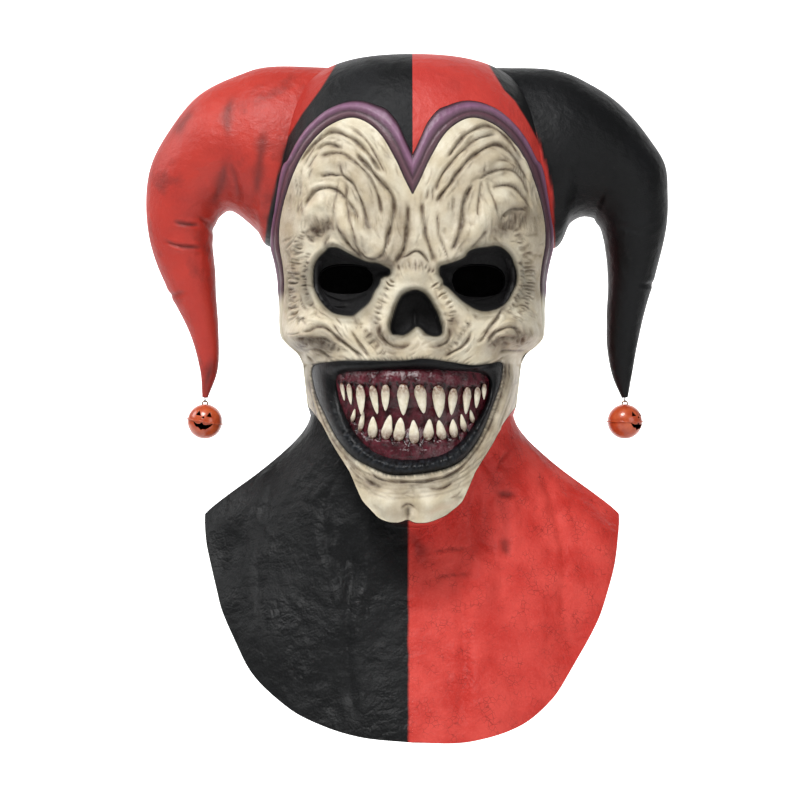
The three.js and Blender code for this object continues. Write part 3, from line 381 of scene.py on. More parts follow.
class Drawing:
    """What the picture shows of one region: sheets of height, of paint and of painted shade, by place.
    """

    def __init__(self, left, top, right, bottom, cells):
        self.left, self.top, self.cells = left, top, cells
        across = np.arange(left, right, 1 / cells)
        down = np.arange(top, bottom, 1 / cells)
        self.x, self.y = np.meshgrid(across, down)
        self.groove, self.ridge, self.raised, self.wash, self.soot = (
            np.zeros(self.x.shape) for _ in range(5))

    def window(self, line, reach):
        low = ((line.min(0) - reach - (self.left, self.top)) * self.cells).astype(int)
        high = ((line.max(0) + reach - (self.left, self.top)) * self.cells).astype(int) + 2
        low = np.maximum(low, 0)
        return slice(low[1], max(high[1], 0)), slice(low[0], max(high[0], 0))

    def stroke(self, points, width, depth=0.0, wash=0.0, soot=0.0, raised=0.0, taper=7.0):
        """A groove with raised shoulders, a raised roll, or a stroke of paint and painted shade."""
        line = rounded(points)
        at = self.window(line, 4 * width + 2)
        away, along, length = to_line(self.x[at], self.y[at], line)
        fade = smooth_step(-width, taper, along) * smooth_step(-width, taper, length - along)
        uneven = width * (1 + 0.28 * np.sin(0.23 * along + line[0].sum()))
        core = fade * np.exp(-((away / uneven) ** 2))
        beside = fade * np.exp(-(((away - 2.1 * width) / (1.1 * width)) ** 2))
        self.groove[at] = np.maximum(self.groove[at], depth * core)
        self.ridge[at] = np.maximum(self.ridge[at], 0.3 * depth * beside)
        self.raised[at] += raised * core
        # Brown darkening along the groove: partly antique wash, partly painted shade
        brown_darkening = wash * fade * np.exp(-((away / (1.25 * uneven)) ** 2))
        self.wash[at] = np.maximum(self.wash[at], brown_darkening)
        self.soot[at] = np.maximum(self.soot[at], soot * core)

    def depth_inside(self, outline):
        return inside_outline(self.x, self.y, outline)

    def read(self, sheet, picture):
        """A sheet's values at places in the picture."""
        c = (picture[..., 0] - self.left) * self.cells
        r = (picture[..., 1] - self.top) * self.cells
        rows, columns = sheet.shape
        inside = (c >= 0) & (r >= 0) & (c < columns - 1) & (r < rows - 1)
        c, r = np.clip(c, 0, columns - 1.001), np.clip(r, 0, rows - 1.001)
        i, j = r.astype(int), c.astype(int)
        u, v = c - j, r - i
        low = sheet[i, j] * (1 - u) + sheet[i, j + 1] * u
        high = sheet[i + 1, j] * (1 - u) + sheet[i + 1, j + 1] * u
        return np.where(inside, low * (1 - v) + high * v, 0)


# Regions of the picture that are drawn: left, top, right, bottom and cells to a pixel
FACE_VIEW = (262, 88, 560, 540, 2)
WHOLE_VIEW = (120, 40, 690, 770, 1)
MOUTH_MIDDLE = (409.0, 402.0)
CREASED_LOW, CREASED_HIGH = (282, 122), (540, 500)
SEPTUM_X = 415
SEPTUM_TOP, SEPTUM_LOW = 306, 322

# Outlines marked on the picture, in its pixels
LEFT_SOCKET = (
    (328, 246), (338, 246), (348.5, 252), (359, 257), (368, 261), (376.5, 261), (385.5, 265),
    (392, 269), (391, 276), (382, 278), (381, 285), (375, 293), (372, 301), (367, 307),
    (359, 313), (354, 317.5), (345, 317), (334, 315), (328, 311), (321, 304), (315, 294),
    (312, 285), (312, 276), (313, 264), (318, 256), (324, 251),
)
RIGHT_SOCKET = (
    (438, 265), (447, 263), (464.5, 257), (466.5, 251), (475, 247), (485, 246), (496, 244),
    (504, 247), (512, 255), (515, 263), (518, 272), (518, 283.5), (514, 292), (509, 302),
    (502, 308), (495, 311), (485, 313), (476, 311), (468.5, 307), (460, 301), (453, 294),
    (447, 288), (442, 285.5), (442, 280), (438, 275.5),
)
NOSE_PIT = (
    (408, 290), (416, 288), (424, 291), (430, 297), (434, 304.5), (439, 313), (441, 320),
    (443.5, 328), (443.5, 334), (439.5, 337.5), (432, 337.5), (425, 335), (422, 331), (417, 327),
    (413, 331), (408, 335), (403, 337), (397, 336), (392, 336), (389.5, 331), (389, 325),
    (391, 318), (393, 311), (396, 303), (400, 295), (404, 292),
)
LEFT_EYE_HOLE = (319, 264, 373, 294)
RIGHT_EYE_HOLE = (452, 264, 505, 297)
MOUTH_EDGE = (
    (314, 364), (311.5, 369), (312, 380), (317, 399), (323, 411), (328, 422), (334, 434),
    (342, 446), (351, 456), (362, 463), (375, 469), (386, 474), (397, 475.6), (416, 474.4),
    (433, 472), (449, 468), (462, 461), (472, 450), (481, 435.6), (487, 421), (494, 402),
    (500.6, 384), (502.8, 371), (503, 361), (489, 364), (473, 366), (450, 362), (422, 358),
    (408, 360.6), (386, 361), (364, 360.6), (342, 360.6), (331, 362),
)
GUM_EDGE = (
    (336, 373), (337, 392), (343, 412), (354, 432.5), (370, 448), (386, 456), (410, 459),
    (433.5, 456), (449, 450), (465, 437), (481, 415), (489, 396), (490, 374), (460, 372),
    (410, 371), (366, 372),
)

# Grooves of the brow, each a line on the picture. The numbers first are half the
# width in pixels, the depth in millimetres and the strength of the brown wash, which
# is partly antique wash and partly painted shade in the groove.
BROW_GROOVES = {
    "left_arch": (2.2, 2.0, 0.75, ((300, 162), (307, 152), (314, 144), (322, 138), (328, 133),
        (334, 132), (340.5, 133), (346, 136), (353, 139), (359, 144), (366, 151), (373, 160),
        (378, 169), (380.5, 173))),
    "left_second_arch": (1.6, 1.3, 0.6, ((349, 128), (357, 132), (364, 138), (369, 144), (374, 152),
        (378, 160), (383, 169), (385, 174))),
    "left_leaf_arch": (2.0, 1.7, 0.75, ((316, 152), (320.5, 147), (325, 144), (329, 144),
        (335, 145.6), (340.5, 148), (344, 149))),
    "left_inner_fall": (2.4, 2.2, 0.85, ((355, 152), (360.5, 159), (364, 162), (372, 171),
        (378, 179), (385, 186), (390.5, 192), (394, 200), (394.4, 207), (393, 217), (390.5, 228),
        (388, 236), (387, 244), (384, 253), (382, 258))),
    "left_middle_fall": (1.9, 1.6, 0.7, ((319, 158), (325, 155), (330.5, 154), (337, 153),
        (344, 154), (349, 158), (355, 162), (360.5, 167), (366, 172), (370.5, 179), (375, 188),
        (379, 198), (380.5, 206), (382, 216))),
    "left_low_arch": (1.8, 1.5, 0.7, ((319, 177), (323, 176), (330.5, 174), (337, 176), (342, 174),
        (346, 178), (352, 182), (356, 189), (360.5, 198), (364, 209), (366, 218), (367, 223))),
    "left_roll_top": (2.2, 2.0, 0.8, ((304, 209), (308, 200), (313, 192), (318, 189), (325, 188),
        (330.5, 188), (335.5, 190), (340.5, 193), (345, 198), (349, 204), (354, 211), (358, 218),
        (360.5, 222))),
    "left_leaf_slit": (1.4, 1.2, 0.8, ((342.6, 160.6), (340.5, 167), (342, 173), (344, 178))),
    "left_leaf_side": (1.2, 0.9, 0.6, ((345, 160), (346, 166), (344, 174))),
    "left_leaf_fall": (1.6, 1.2, 0.65, ((339, 180), (337, 188), (336.7, 194), (334, 204),
        (332, 217))),
    "left_leaf_long_fall": (1.8, 1.4, 0.7, ((346, 182), (347, 191), (346, 200), (348, 209),
        (349, 218), (352, 227), (353, 231), (355, 240), (357, 248), (363, 256))),
    "left_side": (1.4, 1.0, 0.6, ((295, 176), (297, 184), (298, 196), (298, 207), (299, 216))),
    "left_inner_side": (1.4, 1.0, 0.6, ((302, 167), (300.5, 178), (300.5, 189), (301, 200),
        (302, 211), (303, 217))),
    "left_fan_top": (1.3, 0.9, 0.55, ((303, 158), (308, 149), (316, 141), (319, 137), (325, 131))),
    "left_fan_second": (1.2, 0.8, 0.5, ((304, 167), (308, 158), (313, 150), (317, 144))),
    "left_fan_third": (1.2, 0.8, 0.5, ((307, 171), (312, 162), (316, 156), (320.5, 150))),
    "left_fan_low": (1.2, 0.8, 0.5, ((308, 182), (310.5, 171), (315, 166))),
    "left_outer_hollow": (2.4, 2.2, 0.9, ((310, 233), (321, 222), (333, 220))),
    "left_under_roll": (2.2, 1.6, 0.75, ((335, 222), (340.5, 233), (347, 242), (355, 251),
        (364, 259))),
    "left_knob": (1.8, 1.3, 0.6, ((358, 248), (364, 256), (369, 259), (375, 259), (380.5, 256),
        (385, 250))),
    "left_knob_crease": (2.0, 1.4, 0.9, ((366, 220), (369.4, 229))),
    "left_socket_corner": (1.8, 1.2, 0.65, ((330.5, 234), (326, 242), (323, 249))),
    "middle_left": (2.4, 2.0, 0.9, ((408, 203), (408, 218), (406.5, 228), (406.5, 236), (404, 250),
        (399, 257), (395, 265))),
    "middle_right": (2.2, 1.7, 0.8, ((422, 200), (422, 209), (423, 218), (425.6, 228), (425, 234),
        (428, 242), (430.6, 250), (433, 257), (435, 264))),
    "middle_far_right": (1.7, 1.2, 0.6, ((436.7, 211), (438, 220), (438, 227), (439, 236),
        (443, 246), (446, 253), (449, 261))),
    "middle_top": (1.5, 1.0, 0.6, ((426, 202), (428, 193), (429, 187))),
    "middle_top_right": (1.5, 1.0, 0.6, ((433, 204), (433, 184))),
    "nose_arch": (1.5, 1.3, 0.75, ((397, 259), (408, 255.6), (415.5, 250), (423, 254), (430.6, 265))),
    "nose_fan_left": (1.0, 0.8, 0.6, ((408, 259), (411, 272))),
    "nose_fan_middle": (1.0, 0.8, 0.6, ((415.5, 257), (415.5, 274))),
    "nose_fan_right": (1.0, 0.8, 0.6, ((421, 259), (424, 274))),
    "right_arch": (2.2, 2.0, 0.75, ((448, 158), (452, 151), (456, 146), (460.6, 140), (465, 135),
        (472, 131), (478, 128), (485, 126), (492, 127), (499, 131), (505, 136), (511, 143),
        (516, 151), (522, 161))),
    "right_second_arch": (1.8, 1.4, 0.65, ((435.6, 193), (438, 183), (442, 174), (446, 169),
        (453, 161), (458, 154), (465, 149), (471, 143), (477, 139), (485, 136), (493, 134),
        (497, 136))),
    "right_third_arch": (2.2, 1.9, 0.8, ((437, 204), (439, 198), (444, 191), (451, 183), (455, 176),
        (459, 171), (465, 164), (469, 159), (476, 154), (483, 149), (489, 146), (496, 144),
        (503, 147), (509, 152), (515, 159), (519, 167), (524, 174), (527, 182))),
    "right_leaf_arch": (1.8, 1.4, 0.7, ((477, 180), (483, 176), (488, 173), (494, 171), (502, 169),
        (509, 169), (515, 172), (521, 179), (525, 187), (527, 194))),
    "right_leaf_line": (1.4, 1.0, 0.55, ((494, 161), (503, 160), (511, 163), (517, 169), (523, 177),
        (527, 188), (528, 197))),
    "right_roll_top": (2.0, 1.8, 0.75, ((492, 189), (497, 186), (505, 185), (512, 186), (517, 190),
        (522, 197), (527, 202), (529, 209))),
    "right_leaf_slit": (1.4, 1.2, 0.8, ((485, 164), (484, 170), (485, 176))),
    "right_leaf_fall": (1.6, 1.2, 0.65, ((482, 180), (481, 189), (479, 200), (477, 211),
        (479, 222))),
    "right_leaf_second_fall": (1.5, 1.1, 0.6, ((488, 180), (489, 189), (493, 198), (496, 207),
        (498, 216))),
    "right_inner_fall": (2.4, 2.0, 0.85, ((474, 184), (469, 190), (466, 197), (464, 203),
        (462, 211), (463, 218), (461, 228), (457, 240), (452, 252))),
    "right_short_fall": (1.5, 1.0, 0.6, ((453, 194), (454, 203), (452, 213))),
    "right_outer_hollow": (2.4, 2.2, 0.9, ((498, 222), (506, 213), (515, 207), (528, 210))),
    "right_outer_hollow_low": (2.0, 1.4, 0.75, ((505, 227), (517, 229), (526, 226))),
    "right_under_roll": (2.0, 1.4, 0.65, ((489, 228), (482, 236), (476, 243), (469, 250))),
    "right_temple_top": (1.4, 1.0, 0.5, ((500.6, 234), (503, 240))),
    "right_temple_second": (1.4, 1.0, 0.5, ((509, 242), (518, 240.6))),
    "right_temple_third": (1.4, 1.0, 0.5, ((518, 247), (525, 245))),
    "right_temple_fourth": (1.4, 1.0, 0.5, ((520.6, 259), (528, 261))),
}
CHEEK_GROOVES = {
    "right_temple_a": (1.3, 0.8, 0.4, ((521, 269), (526, 274))),
    "right_temple_b": (1.3, 0.8, 0.4, ((528, 280), (533, 284))),
    "right_temple_c": (1.3, 0.9, 0.45, ((523, 287), (536, 292))),
    "right_temple_d": (1.3, 0.9, 0.45, ((521, 291), (529, 298))),
    "right_temple_e": (1.3, 0.9, 0.45, ((513, 306), (522, 306))),
    "right_temple_f": (1.3, 0.9, 0.45, ((526, 313), (536, 319))),
    "left_temple_a": (1.3, 0.8, 0.4, ((290, 248), (293, 253))),
    "left_temple_b": (1.3, 0.8, 0.4, ((297, 260), (307, 259))),
    "left_temple_c": (1.3, 0.9, 0.45, ((286, 290), (299, 293))),
    "left_temple_d": (1.3, 0.9, 0.45, ((284, 301), (297, 298))),
    "left_temple_e": (1.3, 0.9, 0.45, ((287, 312), (299, 302))),
    "left_temple_f": (1.5, 1.0, 0.5, ((300, 294), (302, 306), (308, 312))),
    "left_under_eye": (1.5, 1.0, 0.5, ((320.5, 306), (328, 312))),
    "left_under_eye_low": (1.7, 1.1, 0.5, ((332, 322), (337, 330), (342, 337), (346, 339))),
    "left_cheek": (2.2, 1.8, 0.75, ((300.5, 332), (309, 331), (316, 327), (324, 327), (330.5, 331),
        (337, 337), (344, 342), (350.5, 348), (357, 353), (363, 359))),
    "left_cheek_second": (1.8, 1.3, 0.6, ((295, 338), (306, 339), (312, 341), (319, 338),
        (326, 339), (333, 344))),
    "left_cheek_third": (1.6, 1.1, 0.6, ((303, 353), (307, 350), (314, 349), (322, 351), (328, 357),
        (334, 360))),
    "left_cheek_short": (1.4, 0.9, 0.5, ((297, 347), (308, 346))),
    "left_mouth_corner": (1.8, 1.3, 0.7, ((305, 352), (308, 357), (314, 362))),
    "left_nose_fold": (2.0, 1.5, 0.65, ((350.5, 331), (355, 337), (359, 344), (366, 353),
        (370.5, 359))),
    "nostril_fold": (2.2, 1.7, 0.7, ((380.5, 323), (379, 331), (382, 338), (387, 343), (394, 347),
        (400.5, 348), (407, 346), (412, 342))),
    "nostril_fold_right": (1.8, 1.3, 0.6, ((447, 326), (451, 334), (447, 342), (438, 347),
        (427, 347))),
    "right_under_eye": (1.6, 1.0, 0.5, ((472, 312), (476, 317), (479, 322))),
    "right_long_fold": (2.1, 1.7, 0.7, ((508, 304), (499, 313), (494, 322), (488, 330), (483, 338),
        (477, 343))),
    "right_short_fold": (1.5, 1.0, 0.5, ((465.6, 317), (467, 323), (472, 327))),
    "right_short_fold_low": (1.5, 1.0, 0.5, ((453, 320), (458, 321), (459, 328))),
    "right_nose_fold": (2.0, 1.5, 0.65, ((472, 331), (468, 340), (461, 348), (452, 352),
        (443, 357))),
    "right_cheek": (2.2, 1.8, 0.75, ((485, 343), (489, 338), (495, 332), (502, 329), (509, 327),
        (516, 328), (519, 332), (522, 338))),
    "right_cheek_second": (1.8, 1.3, 0.6, ((487, 348), (493, 343), (498, 338), (505, 337),
        (511, 337), (516, 340))),
    "right_cheek_third": (1.6, 1.1, 0.55, ((498, 354), (503, 350), (516, 351), (527, 350))),
}
JAW_GROOVES = {
    "left_jaw": (2.0, 1.5, 0.6, ((308, 377), (312, 398), (316, 416), (323, 431), (329, 449),
        (337, 461), (346, 478))),
    "left_jaw_inner": (1.8, 1.3, 0.55, ((313, 384), (316, 402), (322, 418), (328, 432), (337, 447),
        (346, 458), (357, 469), (369, 478))),
    "left_jaw_short": (1.5, 1.0, 0.5, ((300.5, 387), (306, 402))),
    "right_jaw": (2.0, 1.5, 0.6, ((505.6, 360), (505, 377), (502, 393), (496, 409), (491, 424),
        (483, 440), (476, 451), (467, 462), (457, 471), (447, 477))),
    "right_jaw_outer": (1.6, 1.1, 0.5, ((509, 360), (509, 376), (511, 380))),
    "right_jaw_short": (1.5, 1.0, 0.5, ((520, 374), (516, 381))),
    "right_jaw_low": (1.5, 1.0, 0.5, ((494, 421), (492, 432))),
    "under_lip": (1.8, 1.4, 0.7, ((370, 473), (380, 480), (393, 482), (417, 482), (438, 480),
        (453, 473), (467, 463))),
    "left_under_lip": (1.5, 1.0, 0.55, ((342, 453), (350, 465), (358, 473), (370, 482),
        (380, 485))),
    "left_under_lip_inner": (1.4, 0.9, 0.5, ((347, 463), (355, 475), (367, 483))),
    "chin_top_left": (2.2, 1.4, 0.6, ((362, 478), (372, 485), (384, 488))),
    "chin_top_right": (2.2, 1.4, 0.6, ((428, 488), (442, 490), (455, 481))),
    "chin_cleft": (3.6, 2.2, 0.5, ((408, 505), (408, 512), (407.5, 524))),
    "chin_cleft_arch": (1.1, 0.8, 0.9, ((400.5, 511), (403, 506), (408, 503.5), (413, 505.5),
        (415.5, 510))),
}
# Rounded rolls between the grooves: half width, height, and the line
ROLLS = {
    "left_brow": (9, 3.6, ((306, 222), (318, 204), (332, 202), (344, 214), (354, 232), (366, 246))),
    "right_brow": (9, 3.4, ((527, 216), (514, 199), (500, 198), (487, 208), (478, 224),
        (468, 240))),
    "left_knob": (7, 2.6, ((370, 238), (376, 249))),
    "left_lobe": (8, 2.2, ((312, 176), (322, 164), (338, 160), (354, 172), (364, 192),
        (370, 212))),
    "left_rim": (7, 1.8, ((300, 150), (315, 134), (336, 122), (356, 128), (372, 146), (388, 172),
        (400, 200))),
    "left_inner": (5, 2.2, ((384, 196), (386, 212), (380, 236))),
    "right_inner": (6, 2.0, ((446, 198), (445, 216), (450, 238))),
    "right_lobe": (8, 2.2, ((470, 176), (484, 162), (500, 156), (516, 168), (524, 190))),
    "right_rim": (7, 1.8, ((424, 192), (436, 166), (454, 144), (472, 128), (494, 128), (514, 144),
        (528, 170))),
    "bridge": (8, 3.2, ((415, 262), (416, 274), (417, 284))),
    "middle": (6, 2.2, ((415, 214), (416, 232), (416, 248))),
    "left_cheekbone": (9, 2.4, ((302, 318), (318, 320), (336, 328), (350, 340))),
    "right_cheekbone": (9, 2.4, ((526, 318), (510, 320), (498, 330), (484, 346))),
    "left_nostril": (6, 2.2, ((386, 318), (384, 328), (390, 339), (402, 341))),
    "right_nostril": (6, 2.2, ((446, 316), (448, 330), (440, 341), (426, 340))),
    "upper_lip_left": (7, 1.8, ((372, 350), (390, 354), (408, 353))),
    "upper_lip_right": (7, 1.8, ((422, 351), (440, 350), (454, 356))),
    "left_jaw_side": (6, 1.6, ((306, 366), (306, 388), (314, 412), (324, 436), (338, 458))),
    "right_jaw_side": (6, 1.6, ((512, 368), (508, 392), (500, 416), (490, 440), (474, 460))),
    "under_lip": (3.4, 1.6, ((370, 470), (380, 477.5), (393, 479), (408, 480), (425, 479),
        (438, 477.5), (447, 473), (457, 467), (467, 458))),
    "chin_left": (10, 4.0, ((384, 502), (394, 508))),
    "chin_right": (10, 4.0, ((424, 508), (436, 502))),
}
# Folds of the lids inside the sockets
SOCKET_FOLDS = {
    "left_low": ((323, 289), (330, 295), (344, 299), (358, 296), (370, 287.5)),
    "left_lower": ((327, 302), (338, 306), (350, 304)),
    "left_top": ((329, 250), (338, 253), (346, 259)),
    "right_low": ((453, 288), (463, 296), (474, 299), (487, 297), (500, 291), (510, 282)),
    "right_lower": ((466, 303), (482, 307), (498, 303)),
    "right_top": ((463, 268), (469, 264), (476, 262)),
}
# Broad patches of brown and black: painted shade in the hollows, at the sides, under
# the nose and lip and on the chin, and black airbrush round the sockets and mouth.
# The numbers are half width, brown, black, and then the line.
SHADES = {
    "left_of_left_socket": (11, 0.1, 0.55, ((308, 268), (305, 284), (308, 300))),
    "right_of_right_socket": (9, 0.1, 0.45, ((521, 268), (523, 284), (517, 300))),
    "left_brow_outer": (7, 0.95, 0.12, ((312, 234), (322, 228), (332, 224))),
    "right_brow_outer": (8, 0.85, 0.08, ((500, 230), (514, 220), (526, 216))),
    "left_inner_corner": (5, 0.9, 0.3, ((384, 259), (394, 266))),
    "left_fall_foot": (4, 0.9, 0.1, ((366, 216), (369, 230))),
    "left_edge": (10, 0.5, 0.0, ((290, 180), (286, 240), (288, 300))),
    "right_edge": (9, 0.4, 0.0, ((536, 190), (539, 240), (537, 300))),
    "left_nose_hollow": (6, 0.65, 0.08, ((372, 316), (378, 336), (392, 350))),
    "right_nose_hollow": (6, 0.6, 0.08, ((455, 318), (450, 338), (438, 352))),
    "nose_root": (7, 0.5, 0.0, ((400, 264), (416, 262), (432, 268))),
    "right_brow_fall": (6, 0.5, 0.0, ((464, 200), (462, 220), (456, 244))),
    "middle": (10, 0.5, 0.0, ((402, 214), (402, 236), (396, 258))),
    "left_brow_middle": (16, 0.3, 0.0, ((330, 152), (352, 168), (370, 196), (378, 232))),
    "right_brow_middle": (16, 0.3, 0.0, ((500, 150), (476, 164), (458, 192), (450, 228))),
    "left_cheek": (9, 0.85, 0.2, ((298, 345), (310, 340), (326, 346))),
    "right_cheek": (9, 0.8, 0.14, ((498, 346), (512, 338), (526, 338))),
    "left_jaw": (9, 0.3, 0.0, ((306, 378), (318, 420), (342, 458))),
    "right_jaw": (9, 0.3, 0.0, ((512, 376), (498, 416), (474, 456))),
    "under_lip": (7, 0.5, 0.1, ((360, 480), (392, 486), (424, 486), (450, 478))),
    "chin": (8, 0.35, 0.0, ((400, 512), (416, 512))),
    "under_nose": (9, 0.3, 0.0, ((384, 344), (414, 348), (444, 346))),
    "mouth_left": (6, 0.2, 0.3, ((312, 360), (308, 384))),
    "mouth_right": (6, 0.2, 0.3, ((506, 358), (508, 384))),
}


# Columns of short crosswise ribs, each with half its ribs' length in pixels
RIBBED = {
    "left_temple": (6.5, ((304, 232), (297, 250), (292, 272), (290, 292), (292, 312), (300, 322))),
    "left_socket_rim": (3.6, ((309, 252), (305, 268), (304, 284), (308, 302), (318, 316))),
    "right_temple": (6.5, ((516, 230), (525, 248), (530, 268), (530, 288), (525, 306), (516, 320))),
    "right_socket_rim": (3.6, ((519, 262), (523, 276), (521, 290), (512, 306), (500, 316))),
    "left_nose_side": (5.0, ((392, 282), (384, 296), (378, 310), (376, 324))),
    "right_nose_side": (5.0, ((436, 284), (446, 298), (452, 312), (452, 326))),
    "nose_root": (4.2, ((398, 268), (408, 266), (420, 266), (434, 272))),
    "left_cheek_patch": (5.5, ((356, 322), (366, 334), (376, 346), (384, 354))),
    "right_cheek_patch": (5.5, ((470, 322), (462, 334), (452, 346), (444, 354))),
    "left_hollow": (5.0, ((302, 342), (314, 340), (326, 342), (338, 350))),
    "right_hollow": (5.0, ((524, 340), (512, 336), (500, 338), (490, 346))),
    "left_brow_end": (4.0, ((300, 226), (308, 220), (318, 216))),
    "left_hollow_comb": (6.0, ((309, 240), (318, 231), (334, 228))),
    "right_hollow_comb": (5.5, ((500, 228), (512, 218), (528, 218))),
}
RIB_SPACING = 3.4
# The creases round the lower mouth: how far each is from its edge, the place that
# they spread from, the place that they are put in order round, and the height
# below which they are shallow, all on the picture
JAW_LINE_OFFSETS = (3.5, 7.0, 10.5, 14.5, 18.5, 23.0)
JAW_LINE_MIDDLE = (408, 372)
JAW_LINE_ORDER_Y = 380
JAW_LINE_SHALLOW_Y = 478


def ribs(face, path, seed):
    """Short uneven creases across a path, close together."""
    half, points = path
    made = np.random.default_rng(seed)
    curve = rounded(points, rounds=3)
    steps = np.append(0, np.cumsum(np.linalg.norm(np.diff(curve, axis=0), axis=1)))
    for at in np.arange(1, steps[-1], RIB_SPACING):
        at = at + made.uniform(-1, 1)
        here = np.array([np.interp(at, steps, curve[:, n]) for n in (0, 1)])
        ahead = np.array([np.interp(at + 1.5, steps, curve[:, n]) for n in (0, 1)])
        way = unit(ahead - here + (1e-6, 0))
        across = np.array((-way[1], way[0]))
        lean = way * made.uniform(-0.5, 0.5)
        reach = half * made.uniform(0.5, 1.15)
        middle = here + across * made.uniform(-1.5, 1.5)
        line = (middle - (across + lean) * reach, middle + way * made.uniform(-1, 1),
                middle + (across - lean) * reach)
        face.stroke(line, made.uniform(0.85, 1.25), made.uniform(1.2, 2.2), made.uniform(0.6, 1.0),
                    taper=4)


def jaw_lines(face, seed):
    """Long creases that run down the cheeks and under the lip, beside the mouth."""
    made = np.random.default_rng(seed)
    edge = rounded(MOUTH_EDGE, closed=True)
    middle_x, middle_y = JAW_LINE_MIDDLE
    low = edge[edge[:, 1] > middle_y]
    low = low[np.argsort(np.arctan2(low[:, 0] - middle_x, low[:, 1] - JAW_LINE_ORDER_Y))]
    away = unit(low - JAW_LINE_MIDDLE)
    for offset in JAW_LINE_OFFSETS:
        line = low + away * (offset + 0.8 * ripple(np.arange(len(low)) * 0.2, (1, 2.3), 60))[:, None]
        start = 0
        while start < len(line) - 6:
            end = min(len(line), start + int(made.integers(9, 26)))
            under = line[start:end, 1].mean() > JAW_LINE_SHALLOW_Y
            face.stroke(line[start:end] + made.uniform(-0.7, 0.7, 2), made.uniform(0.9, 1.4),
                        made.uniform(0.5, 1.1) * (0.5 if under else 1), made.uniform(0.3, 0.65))
            start = end - int(made.integers(1, 5))


# The fine creases: how many are tried, and how near to a groove and how far from
# one they may start, on the picture
CREASE_COUNT = 900
CREASE_CLEAR = 2.6
CREASE_REACH = 17


def fine_creases(face, grooves, seed):
    """Short creases between the marked grooves, each running the way the nearest one does."""
    made = np.random.default_rng(seed)
    places, ways = [], []
    for _width, _depth, _wash, line in grooves:
        curve = rounded(line)
        places.append((curve[1:] + curve[:-1]) / 2)
        ways.append(unit(curve[1:] - curve[:-1]))
    places, ways = np.vstack(places), np.vstack(ways)
    for _ in range(CREASE_COUNT):
        at = made.uniform(CREASED_LOW, CREASED_HIGH)
        away = np.hypot(*(places - at).T)
        nearest = int(np.argmin(away))
        if not CREASE_CLEAR < away[nearest] < CREASE_REACH:
            continue
        way = ways[nearest] * made.choice((-1, 1))
        line = [at]
        for _step in range(made.integers(3, 7)):
            way = unit(way + made.normal(0, 0.16, 2))
            line.append(line[-1] + way * made.uniform(2.5, 4.0))
        face.stroke(line, made.uniform(0.8, 1.3), made.uniform(0.5, 1.0), made.uniform(0.3, 0.6),
                    taper=5)


# The deepest groove that the wall behind it can take
GROOVE_LIMIT = 3.4
# The folds of the lids: half width on the picture, and height in millimetres
LID_FOLD_HALF = 1.3
LID_FOLD_RISE = 1.6


def draw_face():
    face = Drawing(*FACE_VIEW)
    grooves = [*BROW_GROOVES.values(), *CHEEK_GROOVES.values(), *JAW_GROOVES.values()]
    for width, depth, wash, line in grooves:
        face.stroke(line, 0.82 * width, 1.4 * depth, min(1, 1.3 * wash))
        face.stroke(line, 0.5 * width, 0.6 * depth, min(1, 1.9 * wash))
        # A broad brown rim round each groove: painted shade on its slopes
        face.stroke(line, 2.3 * width, wash=0.3 * wash)
    fine_creases(face, grooves, 17)
    for number, path in enumerate(RIBBED.values()):
        ribs(face, path, 30 + number)
    jaw_lines(face, 51)
    for width, height, line in ROLLS.values():
        face.stroke(line, width, raised=1.3 * height, taper=12)
    shade = Drawing(*FACE_VIEW)
    for width, wash, soot, line in SHADES.values():
        shade.stroke(line, width, wash=wash, soot=soot, taper=3)
    face.wash = 1 - (1 - face.wash) * (1 - shade.wash)
    face.soot = shade.soot
    face.lift = face.ridge + face.raised - np.minimum(face.groove, GROOVE_LIMIT)
    raised = face.raised.copy()
    sunk = np.zeros_like(face.lift)
    for outline, deep, wall in (
            (LEFT_SOCKET, SOCKET_DEPTH, 9), (RIGHT_SOCKET, SOCKET_DEPTH, 9),
            (NOSE_PIT, NOSE_DEPTH, 5)):
        inside = face.depth_inside(rounded(outline, closed=True))
        sunk = np.maximum(sunk, deep * smooth_step(-1.2, wall, inside) ** 0.7)
        sunk = np.where(inside > wall, sunk + 0.25 * (inside - wall), sunk)
        face.lift *= 1 - smooth_step(-1.5, 0.5, inside)
        face.lift += 1.5 * np.exp(-(((inside + 3.4) / 2.4) ** 2))
        black = smooth_step(-0.6, 1.6, inside)
        haze = 0.5 * np.exp(-((np.minimum(inside, 0) / 4.5) ** 2)) * (inside > -20)
        face.soot = np.maximum(face.soot, np.maximum(black, haze))
    for line in SOCKET_FOLDS.values():
        face.stroke(line, LID_FOLD_HALF, raised=LID_FOLD_RISE, taper=8)
    face.lift = face.lift + (face.raised - raised)
    mouth = -face.depth_inside(rounded(MOUTH_EDGE, closed=True))
    round_mouth = np.arctan2(face.y - MOUTH_MIDDLE[1], face.x - MOUTH_MIDDLE[0])
    ragged = 1.9 + 1.6 * ripple(round_mouth * 60, (1, 1.7, 2.9), 71)
    smear = np.exp(-((np.maximum(mouth, 0) / np.maximum(ragged, 0.7)) ** 2))
    face.soot = np.maximum(face.soot, 0.85 * smear)
    septum = np.exp(-(((face.x - SEPTUM_X) / 2.0) ** 2))
    septum *= smooth_step(SEPTUM_TOP, SEPTUM_LOW, face.y)
    sunk -= 0.3 * NOSE_DEPTH * septum * (sunk > 4)
    face.sunk = np.maximum(sunk, 0)
    return face


